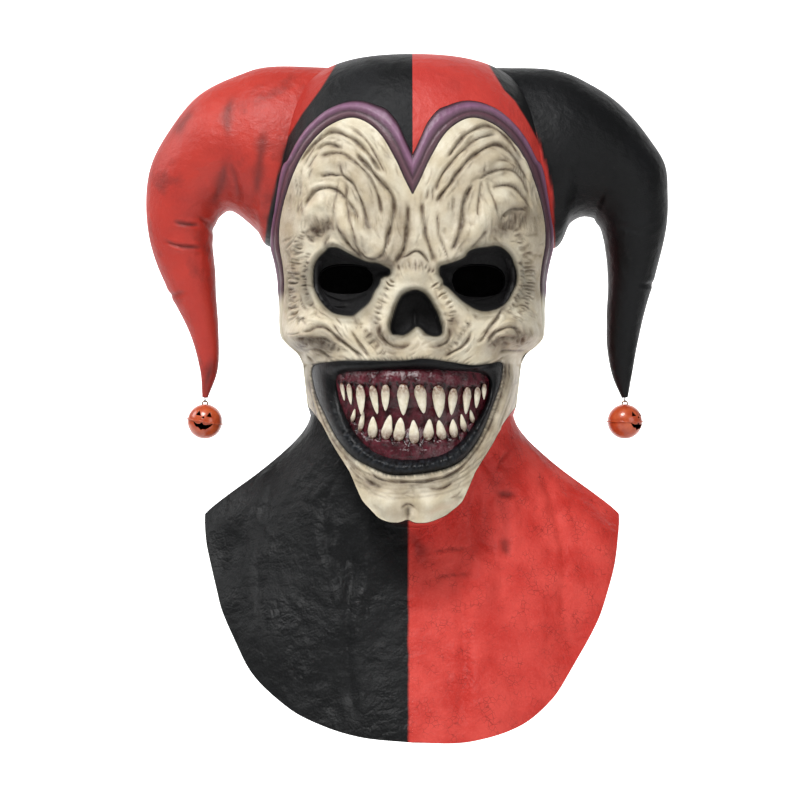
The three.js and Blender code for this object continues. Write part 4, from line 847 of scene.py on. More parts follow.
def make_mesh(name, points, quads, triangles=(), smooth=True, **values):
    """A mesh in the scene from points in millimetres, with a value for each point."""
    mesh = bpy.data.meshes.new(name)
    quads = np.asarray(quads, np.int32).reshape(-1, 4)
    triangles = np.asarray(triangles, np.int32).reshape(-1, 3)
    corners = np.concatenate([quads.ravel(), triangles.ravel()])
    counts = np.concatenate([np.full(len(quads), 4), np.full(len(triangles), 3)])
    mesh.vertices.add(len(points))
    mesh.vertices.foreach_set("co", (np.asarray(points, np.float32) / 1000).ravel())
    mesh.loops.add(len(corners))
    mesh.loops.foreach_set("vertex_index", corners.astype(np.int32))
    mesh.polygons.add(len(counts))
    starts = np.concatenate([[0], np.cumsum(counts)[:-1]])
    mesh.polygons.foreach_set("loop_start", starts.astype(np.int32))
    mesh.polygons.foreach_set("use_smooth", np.full(len(counts), smooth))
    for key, value in values.items():
        layer = mesh.attributes.new(key, "FLOAT", "POINT")
        layer.data.foreach_set("value", np.asarray(value, np.float32).ravel())
    mesh.update(calc_edges=True)
    mesh.validate()
    piece = bpy.data.objects.new(name, mesh)
    bpy.context.scene.collection.objects.link(piece)
    return piece


def grid_quads(columns, rows, first=0, ring=False, flip=False):
    """Faces of a grid whose point i, j is number first + i * rows + j."""
    i, j = np.meshgrid(np.arange(columns if ring else columns - 1), np.arange(rows - 1), indexing="ij")
    a = first + i * rows + j
    d = first + ((i + 1) % columns) * rows + j
    quads = np.stack([a, a + 1, d + 1, d], -1).reshape(-1, 4)
    return quads[:, ::-1] if flip else quads


def strip(one, other, ring=False):
    """Faces between two lines of point numbers."""
    one, other = np.asarray(one), np.asarray(other)
    if ring:
        one, other = np.append(one, one[0]), np.append(other, other[0])
    return np.stack([one[:-1], one[1:], other[1:], other[:-1]], -1)


def nearest_on(outline, places):
    """The point of an outline nearest to each place."""
    edge = np.vstack([outline, outline[:1]])
    a, b = edge[:-1][None], edge[1:][None]
    p = places[:, None]
    t = np.clip(((p - a) * (b - a)).sum(-1) / np.maximum(((b - a) ** 2).sum(-1), 1e-9), 0, 1)
    found = a + t[..., None] * (b - a)
    best = np.argmin(((p - found) ** 2).sum(-1), 1)
    return found[np.arange(len(places)), best]


def open_hole(points, quads, outline):
    """Takes out the faces inside an outline of the picture, and brings what is left to its edge."""
    picture = to_picture(points)
    within = inside_outline(picture[:, 0], picture[:, 1], outline) > 0
    quads = quads[~within[quads].all(1)]
    at_edge = np.intersect1d(np.nonzero(within)[0], quads)
    moved = nearest_on(outline, picture[at_edge]) - picture[at_edge]
    size = PIXEL * (VIEW_DISTANCE + points[at_edge, 1]) / VIEW_DISTANCE
    points[at_edge, 0] += moved[:, 0] * size
    points[at_edge, 2] -= moved[:, 1] * size
    return quads


# How square the eye holes are: 2 gives an oval
EYE_HOLE_SQUARE = 2.6


def eye_outline(left, top, right, bottom):
    a = np.linspace(0, 2 * math.pi, 72, endpoint=False)
    c, s = np.cos(a), np.sin(a)
    power = 2 / EYE_HOLE_SQUARE
    return np.stack([
        (left + right) / 2 + (right - left) / 2 * np.sign(c) * np.abs(c) ** power,
        (top + bottom) / 2 + (bottom - top) / 2 * np.sign(s) * np.abs(s) ** power,
    ], -1)


def brow_z(turn):
    return CROWN_TOP - HEAD_HEIGHT * look_up(BROW_LINE, "turn", "drop", np.abs(turn) / FACE_HALF_TURN)


def band_z(turn, across):
    """Height of a line that runs along the brow band, a distance above the face's edge."""
    step = 0.035
    steep = 0
    reach = 0.03 + 0.07 * smooth_step(0.55, 0.85, np.abs(turn) / FACE_HALF_TURN)
    for nudge in (-reach, -reach / 2, 0, reach / 2, reach):
        middle = np.maximum(np.abs(turn) + nudge, step)
        run = 2 * step * head_section(middle, level_of(brow_z(middle)))[0]
        steep = steep + np.hypot(1, (brow_z(middle + step) - brow_z(middle - step)) / run) / 5
    return np.maximum(jaw_z(turn), brow_z(turn) + across * steep)


def turn_at_jaw(across):
    low, high = 0.5 * FACE_HALF_TURN, 1.6 * FACE_HALF_TURN
    for _ in range(40):
        middle = (low + high) / 2
        if band_z(middle, across) > jaw_z(middle):
            low = middle
        else:
            high = middle
    return high


FACE_END = turn_at_jaw(-SEAM)
BAND_END = turn_at_jaw(BAND_WIDTH - SEAM)
HOOD_END = turn_at_jaw(BAND_WIDTH)


def even_turns(low_of, end, count):
    """Turns from 0 to an end, at even steps along a lower edge given by its height."""
    turn = np.linspace(0, end, 3000)
    edge = skin(turn, level_of(low_of(turn)))
    walked = np.append(0, np.cumsum(np.linalg.norm(np.diff(edge, axis=0), axis=1)))
    return np.interp(np.linspace(0, walked[-1], count), walked, turn)


def jaw_rim(turn):
    tuck = math.radians(50) * np.maximum(0, np.cos(turn)) ** 2
    return np.stack([-np.sin(turn) * np.cos(tuck), np.cos(turn) * np.cos(tuck), np.sin(tuck)], -1)


def sheet_of(outside, inside, ring=False):
    """Points and faces of a sheet with two skins and closed edges, one fine and one coarse."""
    n, m = outside.shape[:2]
    p, q = inside.shape[:2]
    points = np.vstack([outside.reshape(-1, 3), inside.reshape(-1, 3)])
    outer = grid_quads(n, m, ring=ring)
    inner = grid_quads(p, q, n * m, ring, flip=True)
    return points, outer, inner


def edge_strip(points, line_points, other_points, ring=False):
    """Adds a strip of faces between two lines of points, and returns the longer list of points."""
    first = len(points)
    count = len(line_points)
    points = np.vstack([points, line_points, other_points])
    one = np.arange(first, first + count)
    return points, strip(one, one + count, ring)


def sculpt(base, normals, drawing, fade=1.0, back=0.0):
    """The head's skin with the drawing's heights, set back for an inner skin."""
    picture = to_picture(base)
    sunk = drawing.read(drawing.sunk, picture)
    lift = drawing.read(drawing.lift, picture) * fade * smooth_step(0.08, 0.4, -normals[..., 1])
    if back:
        lift = -back
    points = base + normals * np.broadcast_to(lift, base.shape[:-1])[..., None]
    points[..., 1] += sunk
    return points


# The notch in the chin's lower edge: its place and half width on the picture,
# and its height in millimetres
CHIN_NOTCH_X = 407.5
CHIN_NOTCH_HALF = 6.0
CHIN_NOTCH_TOP = 498
CHIN_NOTCH_LOW = 520
CHIN_NOTCH_RISE = 2.2
# How far from the notch the lobes start to round off, and where they end
CHIN_ROUND_FROM, CHIN_ROUND_TO = 16, 46
CHIN_ROUND_RISE = 4.2


def chin_rise(points):
    """How far the chin's lower edge is raised, in its cleft and at its two ends."""
    picture = to_picture(points)
    beside = picture[..., 0] - CHIN_NOTCH_X
    near = smooth_step(CHIN_NOTCH_TOP, CHIN_NOTCH_LOW, picture[..., 1])
    notch = CHIN_NOTCH_RISE * np.exp(-((beside / CHIN_NOTCH_HALF) ** 2))
    ends = CHIN_ROUND_RISE * smooth_step(CHIN_ROUND_FROM, CHIN_ROUND_TO, np.abs(beside))
    return near * (notch + ends)


# How much thicker the face is than the rest, to hold its deep grooves
FACE_SPARE = 2.2


def make_face(drawing):
    columns, rows = 270, 330
    mouth = rounded(MOUTH_EDGE, closed=True)
    clear = smooth_step(0, 4, -drawing.depth_inside(mouth))
    drawing.lift = drawing.lift * clear
    wall = WALL + FACE_SPARE

    def base(columns, rows):
        share = np.linspace(-1, 1, columns)[:, None]
        turn = (0.75 * share + 0.25 * share**3) * FACE_END
        top, low = level_of(band_z(turn, -SEAM)), level_of(jaw_z(turn))
        down = np.linspace(0, 1, rows)
        level = top + (low - top) * down
        turn = turn + 0 * level
        points = skin(turn, level)
        fade = smooth_step(0, 0.012, down) * smooth_step(0, 0.02, 1 - down) + 0 * level
        return turn, points, grid_normals(points), fade

    turn, outer_base, outer_normals, fade = base(columns, rows)
    outer = sculpt(outer_base, outer_normals, drawing, fade)
    outer[..., 2] += chin_rise(outer)
    _turn, inner_base, inner_normals, _fade = base(68, 66)
    inner = sculpt(inner_base, inner_normals, drawing, back=wall)
    inner[..., 2] += chin_rise(inner)
    points, outer_faces, inner_faces = sheet_of(outer, inner)
    faces = [outer_faces, inner_faces]
    holes = [eye_outline(*LEFT_EYE_HOLE), eye_outline(*RIGHT_EYE_HOLE), mouth]
    for outline in holes:
        faces = [open_hole(points, part, outline) for part in faces]
    for outline in holes:
        front = front_points(outline)
        front[:, 1] += drawing.read(drawing.sunk, to_picture(front))
        points, wall_faces = edge_strip(points, front, front + (0, wall, 0), ring=True)
        faces.append(wall_faces)
    top, top_back = outer[:, 0], outer[:, 0] - outer_normals[:, 0] * wall
    low, low_back = outer[:, -1], outer[:, -1] + jaw_rim(turn[:, -1]) * wall
    side = [(outer[i], outer[i] - outer_normals[i] * wall) for i in (0, -1)]
    for line, other in ((top, top_back), (low, low_back), *side):
        points, edge_faces = edge_strip(points, line, other)
        faces.append(edge_faces)
    picture = to_picture(points)
    outside = np.zeros(len(points))
    outside[: columns * rows] = 1
    piece = make_mesh(
        "face_shell", points, np.vstack(faces),
        wash=drawing.read(drawing.wash, picture) * outside,
        soot=drawing.read(drawing.soot, picture) * outside, within=1 - outside)
    return piece


def mouth_ring(outline, count):
    """An outline's points at even angles round the middle of the mouth."""
    middle = np.array(MOUTH_MIDDLE)
    dense = rounded(outline, closed=True, rounds=3) - middle
    angle = np.unwrap(np.arctan2(dense[:, 1], dense[:, 0]))
    if angle[-1] < angle[0]:
        dense, angle = dense[::-1], angle[::-1]
    reach = np.hypot(dense[:, 0], dense[:, 1])
    wanted = angle[0] + np.linspace(0, 2 * math.pi, count, endpoint=False)
    found = np.interp(wanted, np.append(angle, angle[0] + 2 * math.pi), np.append(reach, reach[0]))
    return middle + np.stack([found * np.cos(wanted), found * np.sin(wanted)], -1), wanted


def ripple(at, waves, seed):
    """An uneven wave: several sines of seeded lengths and starts."""
    made = np.random.default_rng(seed)
    total = np.zeros_like(at)
    for rate in waves:
        total += np.sin(at * rate * made.uniform(0.85, 1.15) + made.uniform(0, 6.3))
    return total / len(waves)


def make_lips():
    count, rows = 360, 28
    outer, angle = mouth_ring(MOUTH_EDGE, count)
    inner, _angle = mouth_ring(GUM_EDGE, count)
    shrink = SEAM / PIXEL / np.linalg.norm(outer - inner, axis=1)
    inset = np.linspace(0, 1, rows)
    share = shrink[:, None] + (1 - shrink[:, None]) * inset
    picture = outer[:, None] + share[..., None] * (inner - outer)[:, None]
    points = front_points(picture)
    hump = np.sin(math.pi * inset) ** 0.8
    creases = ripple(angle, (31, 47, 66, 83), 4)[:, None] + 0.6 * ripple(
        angle[:, None] + 0.05 * inset, (120, 150), 5)
    full = (0.2 + 0.8 * smooth_step(-0.1, 0.7, np.sin(angle)))[:, None]
    points[..., 1] += GUM_RECESS * inset**3 - LIP_RISE * hump * full - 0.9 * creases * hump * full
    back = points[::3, ::3].copy()
    back[..., 1] += 1.4 * WALL
    mesh_points, front_faces, back_faces = sheet_of(points, back, ring=True)
    faces = [front_faces, back_faces]
    for edge in (0, -1):
        line = points[:, edge]
        mesh_points, edge_faces = edge_strip(mesh_points, line, line + (0, 1.4 * WALL, 0), ring=True)
        faces.append(edge_faces)
    # Grey-blue on the raised lower lip and its creases: painted highlight, partly dry-brushed wear
    worn = np.zeros(len(mesh_points))
    worn[: count * rows] = np.clip((creases * hump * 0.6 + 0.6 * hump) * full, 0, 1).ravel()
    return make_mesh("lip_ring", mesh_points, np.vstack(faces), worn=worn)


def gum_y(x, z):
    top = CROWN_TOP - MOUTH_DROP - LIP_TOP
    height = MOUTH_HEIGHT - LIP_TOP - LIP_BOTTOM
    v = (top - z) / height
    ridge = np.maximum(0, np.cos((v - 0.18) * 2.2 * math.pi)) * 0.8
    ridge = ridge + np.maximum(0, np.cos((v - 0.86) * 2.4 * math.pi))
    edge = np.clip(1 - (x / (MOUTH_WIDTH / 2 - LIP_SIDE)) ** 2, 0, 1)
    return front_of(x, z)[..., 1] + GUM_RECESS - GUM_RISE * ridge * edge


def tooth_places():
    """Each tooth's name, root, length, width, lean and direction."""
    gum_half = MOUTH_WIDTH / 2 - LIP_SIDE
    gum_height = MOUTH_HEIGHT - LIP_TOP - LIP_BOTTOM
    places = []
    for row, table, down in (("tooth_upper", UPPER_TEETH, True), ("tooth_lower", LOWER_TEETH, False)):
        for i, at in enumerate(table["at"]):
            length = gum_height * table["length"][i]
            top = CROWN_TOP - MOUTH_DROP - LIP_TOP - gum_height * table["top"][i]
            places.append({
                "name": f"{row}_{i + 1:02d}", "x": gum_half * at, "length": length,
                "z": top if down else top - length, "width": TOOTH_WIDTH * table["wide"][i],
                "lean": math.radians(table["lean"][i] * (1 if down else -1)), "down": down,
            })
    return places


def make_gums(teeth):
    columns, rows = 200, 110
    ring, _angle = mouth_ring(GUM_EDGE, 300)
    edge = front_points(ring)
    low, high = edge.min(0) - 3, edge.max(0) + 3
    x, z = np.meshgrid(
        np.linspace(low[0], high[0], columns), np.linspace(high[2], low[2], rows), indexing="ij")
    y = gum_y(x, z)
    root = np.zeros_like(x)
    for tooth in teeth:
        way = 1 if tooth["down"] else -1
        dz = (z - tooth["z"]) * way
        half = 0.5 * tooth["width"]
        beside = (x - tooth["x"] + math.tan(tooth["lean"]) * (z - tooth["z"])) / half
        bulge = np.exp(-(beside**2)) * smooth_step(-1, 1, dz) * np.exp(-np.maximum(dz, 0) / 6)
        y = y - 2.4 * bulge
        ring_away = np.hypot(beside * half, np.minimum(dz - 0.4, 0)) - half * 1.05
        # A ring round each root where the gum dips, later darkened as painted shade
        near = np.exp(-((ring_away / 0.8) ** 2)) * (dz < 1.2) * (dz > -0.35 * tooth["length"])
        root = np.maximum(root, near)
        y = y + 0.7 * near
    y = y + 0.12 * ripple(x * 0.9 + 0.3 * z, (3, 5, 7), 8) * ripple(z, (1.4, 2.3), 9)
    front = np.stack([x, y, z], -1)
    back = front[::8, ::8].copy()
    back[..., 1] += WALL
    points, front_faces, back_faces = sheet_of(front, back)
    outline = rounded(GUM_EDGE, closed=True)
    grown = outline + (outline - outline.mean(0)) * 0.03
    faces = [open_outside(points, part, grown) for part in (front_faces, back_faces)]
    mark = np.zeros(len(points))
    mark[: columns * rows] = root.ravel()
    return make_mesh("gum_plate", points, np.vstack(faces), root=mark)


def open_outside(points, quads, outline):
    """Takes out the faces outside an outline of the picture."""
    picture = to_picture(points)
    within = inside_outline(picture[:, 0], picture[:, 1], outline) > 0
    return quads[within[quads].any(1)]


# A tooth's outline from root to tip, in shares of its length and width
FANG_PROFILE = {
    "down": (0, 0.03, 0.09, 0.2, 0.36, 0.7, 0.88, 0.96, 1),
    "radius": (0, 0.2, 0.36, 0.48, 0.54, 0.38, 0.22, 0.12, 0),
}


def make_tooth(tooth, number):
    sides, rows = 26, 22
    down = np.linspace(0, 1, rows)
    radius = np.interp(down, FANG_PROFILE["down"], FANG_PROFILE["radius"])
    angle = np.linspace(0, 2 * math.pi, sides, endpoint=False)
    turn, fall = np.meshgrid(angle, down, indexing="ij")
    wide = tooth["width"] * np.broadcast_to(radius, turn.shape)
    bend = 0.05 * tooth["length"] * np.sin(number * 2.4) * fall**2
    chipped = 1 + 0.04 * np.sin(3 * turn + number) + 0.03 * np.sin(9 * fall + 2 * number)
    x = wide * np.cos(turn) * chipped + bend
    y = wide * np.sin(turn) * TOOTH_DEPTH / TOOTH_WIDTH * chipped
    z = -tooth["length"] * fall
    if not tooth["down"]:
        x, z = -x, -z
    lean = tooth["lean"]
    c, s = math.cos(lean), math.sin(lean)
    x, z = x * c + z * s * (-1 if tooth["down"] else 1), z * c
    swing = math.atan2(
        float(gum_y(np.array(tooth["x"] + 2), np.array(tooth["z"])))
        - float(gum_y(np.array(tooth["x"] - 2), np.array(tooth["z"]))), 4)
    px = tooth["x"] + x * math.cos(swing) - y * math.sin(swing)
    py = x * math.sin(swing) + y * math.cos(swing)
    pz = tooth["z"] + z
    at_root = gum_y(px[:, :3], pz[:, :3]).min()
    points = np.stack([px, py + at_root - 0.3, pz], -1)
    body = grid_quads(sides, rows, ring=True)
    cap_front = points[:, 0].mean(0)
    all_points = np.vstack([points.reshape(-1, 3), cap_front])
    ring = np.arange(sides) * rows
    cap = np.stack([np.full(sides, sides * rows), ring, np.roll(ring, -1)], -1)
    # Darker towards the root: a brown tint and painted shade where the tooth meets the gum
    root = np.append((1 - smooth_step(0.02, 0.62, fall)).ravel(), 1)
    return make_mesh(tooth["name"].replace("tooth", "fang"), all_points, body, cap, root=root)


# How far below the crown's zero the purple of the band ends
BAND_PAINT_ENDS = 172.0
# The band from its inner to its outer edge: a thin cord, a flute and a thick cord
BAND_PROFILE = {
    "across": (0, 0.08, 0.24, 0.36, 0.46, 0.68, 0.88, 0.96, 1),
    "rise": (0.1, 0.4, 0.62, 0.5, 0.62, 1.0, 0.72, 0.35, 0.1),
}


def make_band():
    half, rows = 310, 22
    columns = 2 * half - 1
    edges = []
    for width, end in ((0, FACE_END), (BAND_WIDTH - SEAM, BAND_END)):
        turns = even_turns(lambda turn: band_z(turn, width), end, half)
        turns = np.concatenate([-turns[:0:-1], turns])
        edges.append((turns[:, None], band_z(turns, width)[:, None]))
    (inner_turn, inner_z), (outer_turn, outer_z) = edges
    across = np.linspace(0, 1, rows) + 0 * inner_turn
    turn = inner_turn + (outer_turn - inner_turn) * across
    points = skin(turn, level_of(inner_z + (outer_z - inner_z) * across))
    normals = -grid_normals(points)
    profile = np.interp(across, BAND_PROFILE["across"], BAND_PROFILE["rise"])
    uneven = 1 + 0.08 * ripple(turn * 40, (1, 2.2, 3.7), 12)
    low = smooth_step(-BAND_PAINT_ENDS + 8, -BAND_PAINT_ENDS - 10, points[..., 2])
    profile = profile * (1 - 0.75 * low)
    outer = points + normals * (CORD_RISE * profile * uneven)[..., None]
    inner = (points - normals * WALL)[::8, ::7]
    mesh_points, outer_faces, inner_faces = sheet_of(outer, inner)
    faces = [outer_faces[:, ::-1], inner_faces[:, ::-1]]
    for row in (0, -1):
        line = outer[:, row]
        mesh_points, edge_faces = edge_strip(mesh_points, line, (points - normals * WALL)[:, row])
        faces.append(edge_faces)
    value = np.full(len(mesh_points), -1.0)
    value[: columns * rows] = across.ravel()
    bare = smooth_step(-BAND_PAINT_ENDS + 6, -BAND_PAINT_ENDS - 6, mesh_points[:, 2])
    return make_mesh("band_cord", mesh_points, np.vstack(faces), across=value, bare=bare)


# Creases of the cap and the horns, and folds of the collar, on the picture:
# half width, depth, darkening, and the line. The darkening is painted shade in the
# creases, dents and under the chin, and dark smudges on the red horn.
CAP_CREASES = {
    "red_horn_top_a": (1.7, 1.4, 0.7, ((173, 222), (186, 225), (199, 225))),
    "red_horn_top_b": (1.7, 1.4, 0.7, ((163, 241), (180, 247), (203, 248))),
    "red_horn_streak_a": (5.5, 0.3, 0.6, ((264, 130), (260, 160), (256, 196))),
    "red_horn_streak_b": (5.0, 0.6, 0.55, ((226, 160), (222, 184), (212, 206))),
    "red_horn_streak_c": (5.0, 0.0, 0.55, ((232, 98), (226, 116), (228, 134))),
    "red_horn_streak_d": (4.0, 0.0, 0.5, ((192, 112), (182, 124), (176, 134))),
    "red_horn_tip": (4.0, 0.0, 0.5, ((214, 358), (206, 384), (205, 398))),
    "red_horn_neck": (3.0, 1.0, 0.35, ((228, 160), (236, 180), (240, 204))),
    "red_horn_low": (2.2, 0.8, 0.3, ((158, 290), (172, 296), (186, 292))),
    "red_horn_inner": (2.4, 0.9, 0.3, ((196, 216), (212, 226), (222, 244))),
    "black_horn_seam": (3.0, 1.2, 0.0, ((495, 70), (516, 100), (535, 140), (546, 166), (550, 190))),
    "black_horn_inner": (2.6, 1.0, 0.0, ((606, 190), (594, 212), (590, 236))),
    "black_horn_bend": (2.6, 0.9, 0.0, ((622, 226), (638, 232), (654, 228))),
    "black_horn_low": (2.2, 0.8, 0.0, ((632, 280), (646, 286), (658, 282))),
}
COLLAR_CREASES = {
    "red_long": (4.5, 1.6, 0.15, ((478, 452), (492, 472), (504, 500), (508, 530), (500, 560))),
    "red_dimple": (3.2, 2.0, 0.7, ((500, 493), (508, 494.5), (513, 495))),
    "red_dimple_low": (4.0, 2.2, 0.6, ((505, 538), (505.5, 545), (507, 554))),
    "red_under_chin": (7.0, 0.8, 0.5, ((414, 538), (420, 548), (424, 556))),
    "red_chin_line": (1.4, 0.8, 0.45, ((430, 552), (446, 550), (470, 548))),
    "red_chin_line_low": (1.4, 0.8, 0.4, ((434, 578), (452, 575), (472, 574))),
    "red_neck_fold": (1.6, 1.0, 0.4, ((496, 470), (504, 456), (510, 450))),
    "red_outer": (4.5, 1.2, 0.0, ((540, 470), (556, 510), (566, 560), (564, 620))),
    "red_low": (5.0, 1.2, 0.0, ((452, 560), (462, 610), (466, 670), (460, 720))),
    "red_small": (2.5, 0.8, 0.1, ((486, 470), (498, 466), (512, 470))),
    "red_small_low": (2.5, 0.8, 0.1, ((480, 540), (494, 548), (510, 546))),
    "black_long": (4.5, 1.5, 0.0, ((334, 478), (322, 510), (326, 545), (338, 580))),
    "black_dent": (4.5, 2.0, 0.0, ((326, 556), (338, 560), (348, 558))),
    "black_outer": (4.5, 1.2, 0.0, ((276, 470), (262, 520), (256, 570), (262, 620))),
    "black_low": (5.0, 1.2, 0.0, ((352, 570), (346, 620), (348, 680), (356, 720))),
    "black_small": (2.5, 0.8, 0.0, ((300, 500), (314, 508), (326, 504))),
}


# Where the airbrushed colours meet on the cap, beside each horn, on the picture
RED_BORDER = ((342, 56), (335, 66), (320, 90), (302, 114), (288, 137), (276, 180), (267, 222),
              (265, 240), (262, 300))
BLACK_BORDER = ((478, 50), (487, 62), (504, 90), (515, 101), (528, 122), (538, 141), (547, 169),
                (553, 195), (556, 300))


def past_border(points, border, side):
    """How far places are into the other colour: 0 before a border and 1 past it."""
    picture = to_picture(points)
    line = np.array(border, float)
    edge = np.interp(picture[..., 1], line[:, 1], line[:, 0])
    return smooth_step(-1.2, 1.2, side * (picture[..., 0] - edge))


def draw_cap(creases):
    cap = Drawing(*WHOLE_VIEW)
    for width, depth, soot, line in creases.values():
        reach = math.hypot(line[-1][0] - line[0][0], line[-1][1] - line[0][1])
        cap.stroke(line, width, depth, soot=soot, taper=min(12, reach / 4))
    cap.lift = cap.ridge * 1.3 - cap.groove
    return cap


def make_hood(name, side):
    columns, rows = 361, 120

    def surface(columns, rows, lift):
        def low_of(turn):
            return np.where(turn < HOOD_END, band_z(turn, BAND_WIDTH), jaw_z(turn))

        share = np.linspace(0, 1, rows)
        foot = even_turns(low_of, math.pi, columns)[:, None]
        level = level_of(low_of(foot)) * share**0.9
        top = np.linspace(0, math.pi, columns)[:, None]
        turn = top + (foot - top) * share
        base = skin(turn, np.maximum(level, 1e-4))
        normals = -grid_normals(base)
        normals = np.where(level[..., None] < 0.03, (0.0, 0.0, 1.0), -normals)
        placed = base + normals * lift
        placed[..., 0] = side * (np.maximum(0, placed[..., 0]) + COLOUR_GAP)
        return turn, placed

    turn, outer = surface(columns, rows, 0.0)
    _turn, back = surface(columns, rows, -WALL)
    _turn, inner = surface(81, 44, -WALL)
    points, outer_faces, inner_faces = sheet_of(outer, inner)
    middle_z = CROWN_TOP - HORN_DROP * HORN_ROOT_DROP
    deep = HORN_DEPTH / 2 * HORN_ROOT_SHARE - WALL - CAP_LEDGE
    tall = HORN_GIRTH / 2 * HORN_ROOT_SHARE - WALL - CAP_LEDGE
    q = np.hypot(points[:, 1] / deep, (points[:, 2] - middle_z) / tall)
    within = (q < 1) & (points[:, 0] * side > HORN_START - HORN_ROOT_REACH)
    faces = []
    for part in (outer_faces, inner_faces):
        kept = part[~within[part].all(1)]
        edge = np.intersect1d(np.nonzero(within)[0], kept)
        points[edge, 1] /= q[edge]
        points[edge, 2] = middle_z + (points[edge, 2] - middle_z) / q[edge]
        within[edge] = False
        faces.append(kept)
    foot_back = np.where(
        (turn[:, -1] < HOOD_END)[:, None], back[:, -1],
        outer[:, -1] + jaw_rim(turn[:, -1]) * (side, 1, 1) * WALL)
    for line, other in ((outer[:, -1], foot_back), (outer[0], back[0]), (outer[-1], back[-1])):
        points, edge_faces = edge_strip(points, line, other)
        faces.append(edge_faces)
    outside = np.zeros(len(points))
    outside[: columns * rows] = 1
    faces = np.vstack(faces)
    return make_mesh(
        name, points, faces if side > 0 else faces[:, ::-1], within=1 - outside,
        other=past_border(points, BLACK_BORDER if side > 0 else RED_BORDER, side))


def head_reach(points):
    """How far points are outside the head, less than 0 inside it."""
    turn = np.arctan2(points[..., 0], -points[..., 1])
    radius, _z = head_section(turn, level_of(np.minimum(points[..., 2], CROWN_TOP)))
    out = np.hypot(points[..., 0], points[..., 1]) - radius
    return np.where(points[..., 2] > CROWN_TOP - 0.5, 5.0, out)


def make_horn(name, sections, side, reach, creases):
    sides, rows, inner_rows = 112, 230, 60
    table = {**sections, "at": tuple(np.linspace(0, 1, len(sections["out"])))}

    def loft(at, angle, shrink):
        column = {key: look_up(table, "at", key, at) for key in sections}
        heading = np.radians(column["heading"])
        thick = np.maximum(0.4, HORN_GIRTH / 2 * column["thick"] - shrink) * np.cos(angle)
        deep = np.maximum(0.4, HORN_DEPTH / 2 * column["deep"] - shrink) * np.sin(angle)
        return np.stack([
            side * (reach * column["out"] + np.sin(heading) * thick), deep,
            CROWN_TOP - HORN_DROP * column["drop"] + np.cos(heading) * thick,
        ], -1)

    def wall_of(sides, rows, shrink, end):
        angle = np.linspace(0, 2 * math.pi, sides, endpoint=False)
        steps = np.linspace(0, 0.6, 700)
        tried = loft(steps[None] + 0 * angle[:, None], angle[:, None] + 0 * steps[None], shrink)
        inside = head_reach(tried) < -1
        last = np.where(inside.any(1), inside.shape[1] - 1 - np.argmax(inside[:, ::-1], 1), 0)
        start = steps[last][:, None]
        at = start + (end - start) * np.linspace(0, 1, rows)
        return loft(at, angle[:, None] + 0 * at, shrink)

    outer = wall_of(sides, rows, 0, 1)
    normals = grid_normals(outer, ring=True) * side
    picture = to_picture(outer)
    lift = creases.read(creases.lift, picture)
    front = np.where(outer[..., 1] < 0, 1.0, 0.7)
    outer = outer + normals * (lift * front)[..., None]
    inner = wall_of(sides, inner_rows, WALL, 1 - HORN_SOLID_TIP / HORN_DROP)
    points, outer_faces, inner_faces = sheet_of(outer, inner, ring=True)
    points, rim = edge_strip(points, outer[:, 0], inner[:, 0], ring=True)
    tip = len(points)
    points = np.vstack([points, outer[:, -1].mean(0), inner[:, -1].mean(0)])
    ends = np.arange(sides) * rows + rows - 1
    inner_ends = sides * rows + np.arange(sides) * inner_rows + inner_rows - 1
    caps = np.vstack([
        np.stack([np.full(sides, tip), np.roll(ends, -1), ends], -1),
        np.stack([np.full(sides, tip + 1), inner_ends, np.roll(inner_ends, -1)], -1)])
    soot = np.zeros(len(points))
    # Darkening from the drawn creases: painted shade, and dark smudges
    soot[: sides * rows] = creases.read(creases.soot, picture).ravel()
    within = np.ones(len(points))
    within[: sides * rows] = 0
    within[tip] = 0
    faces = np.vstack([outer_faces, inner_faces, rim])
    if side < 0:
        faces, caps = faces[:, ::-1], caps[:, ::-1]
    border = BLACK_BORDER if side > 0 else RED_BORDER
    return make_mesh(
        name, points, faces, caps, soot=soot, within=within, other=past_border(points, border, -side))


def collar_point(turn, along):
    start = np.stack([
        jaw_radius(turn) * np.sin(turn), -jaw_radius(turn) * np.cos(turn), jaw_z(turn) - SEAM], -1)
    throat = oval_radius(turn, NECK_WIDTH / 2, THROAT_REACH, NECK_BACK_REACH)
    tuck = np.stack([throat * np.sin(turn), -throat * np.cos(turn), start[..., 2] - 5], -1)
    degrees = np.degrees(np.abs(turn))
    red_bib, black_bib = (look_up(BIB_LINE, "turn", half, degrees) for half in ("red", "black"))
    bib = np.where(turn > 0, red_bib, black_bib)
    drop = np.where(np.cos(turn) > 0, BIB_DROP * bib, -TAIL_DROP * np.cos(turn))
    edge = np.stack([
        SHOULDER_WIDTH / 2 * np.sin(turn), -BIB_REACH * np.cos(turn),
        CROWN_TOP - SHOULDER_DROP - drop], -1)
    fall = (tuck - edge)[..., 2:]
    out = (edge - tuck) * (1, 1, 0)
    near = tuck + out * 0.05 - (0, 0, 0.33) * fall
    far = edge - out * 0.16 + (0, 0, 0.2) * fall
    t = np.clip((along - COLLAR_SHELF) / (1 - COLLAR_SHELF), 0, 1)[..., None]
    curve = (
        tuck * (1 - t) ** 3 + 3 * near * t * (1 - t) ** 2 + 3 * far * t**2 * (1 - t) + edge * t**3)
    shelf = np.clip(along / COLLAR_SHELF, 0, 1)[..., None]
    return np.where(along[..., None] <= COLLAR_SHELF, start + (tuck - start) * shelf, curve)


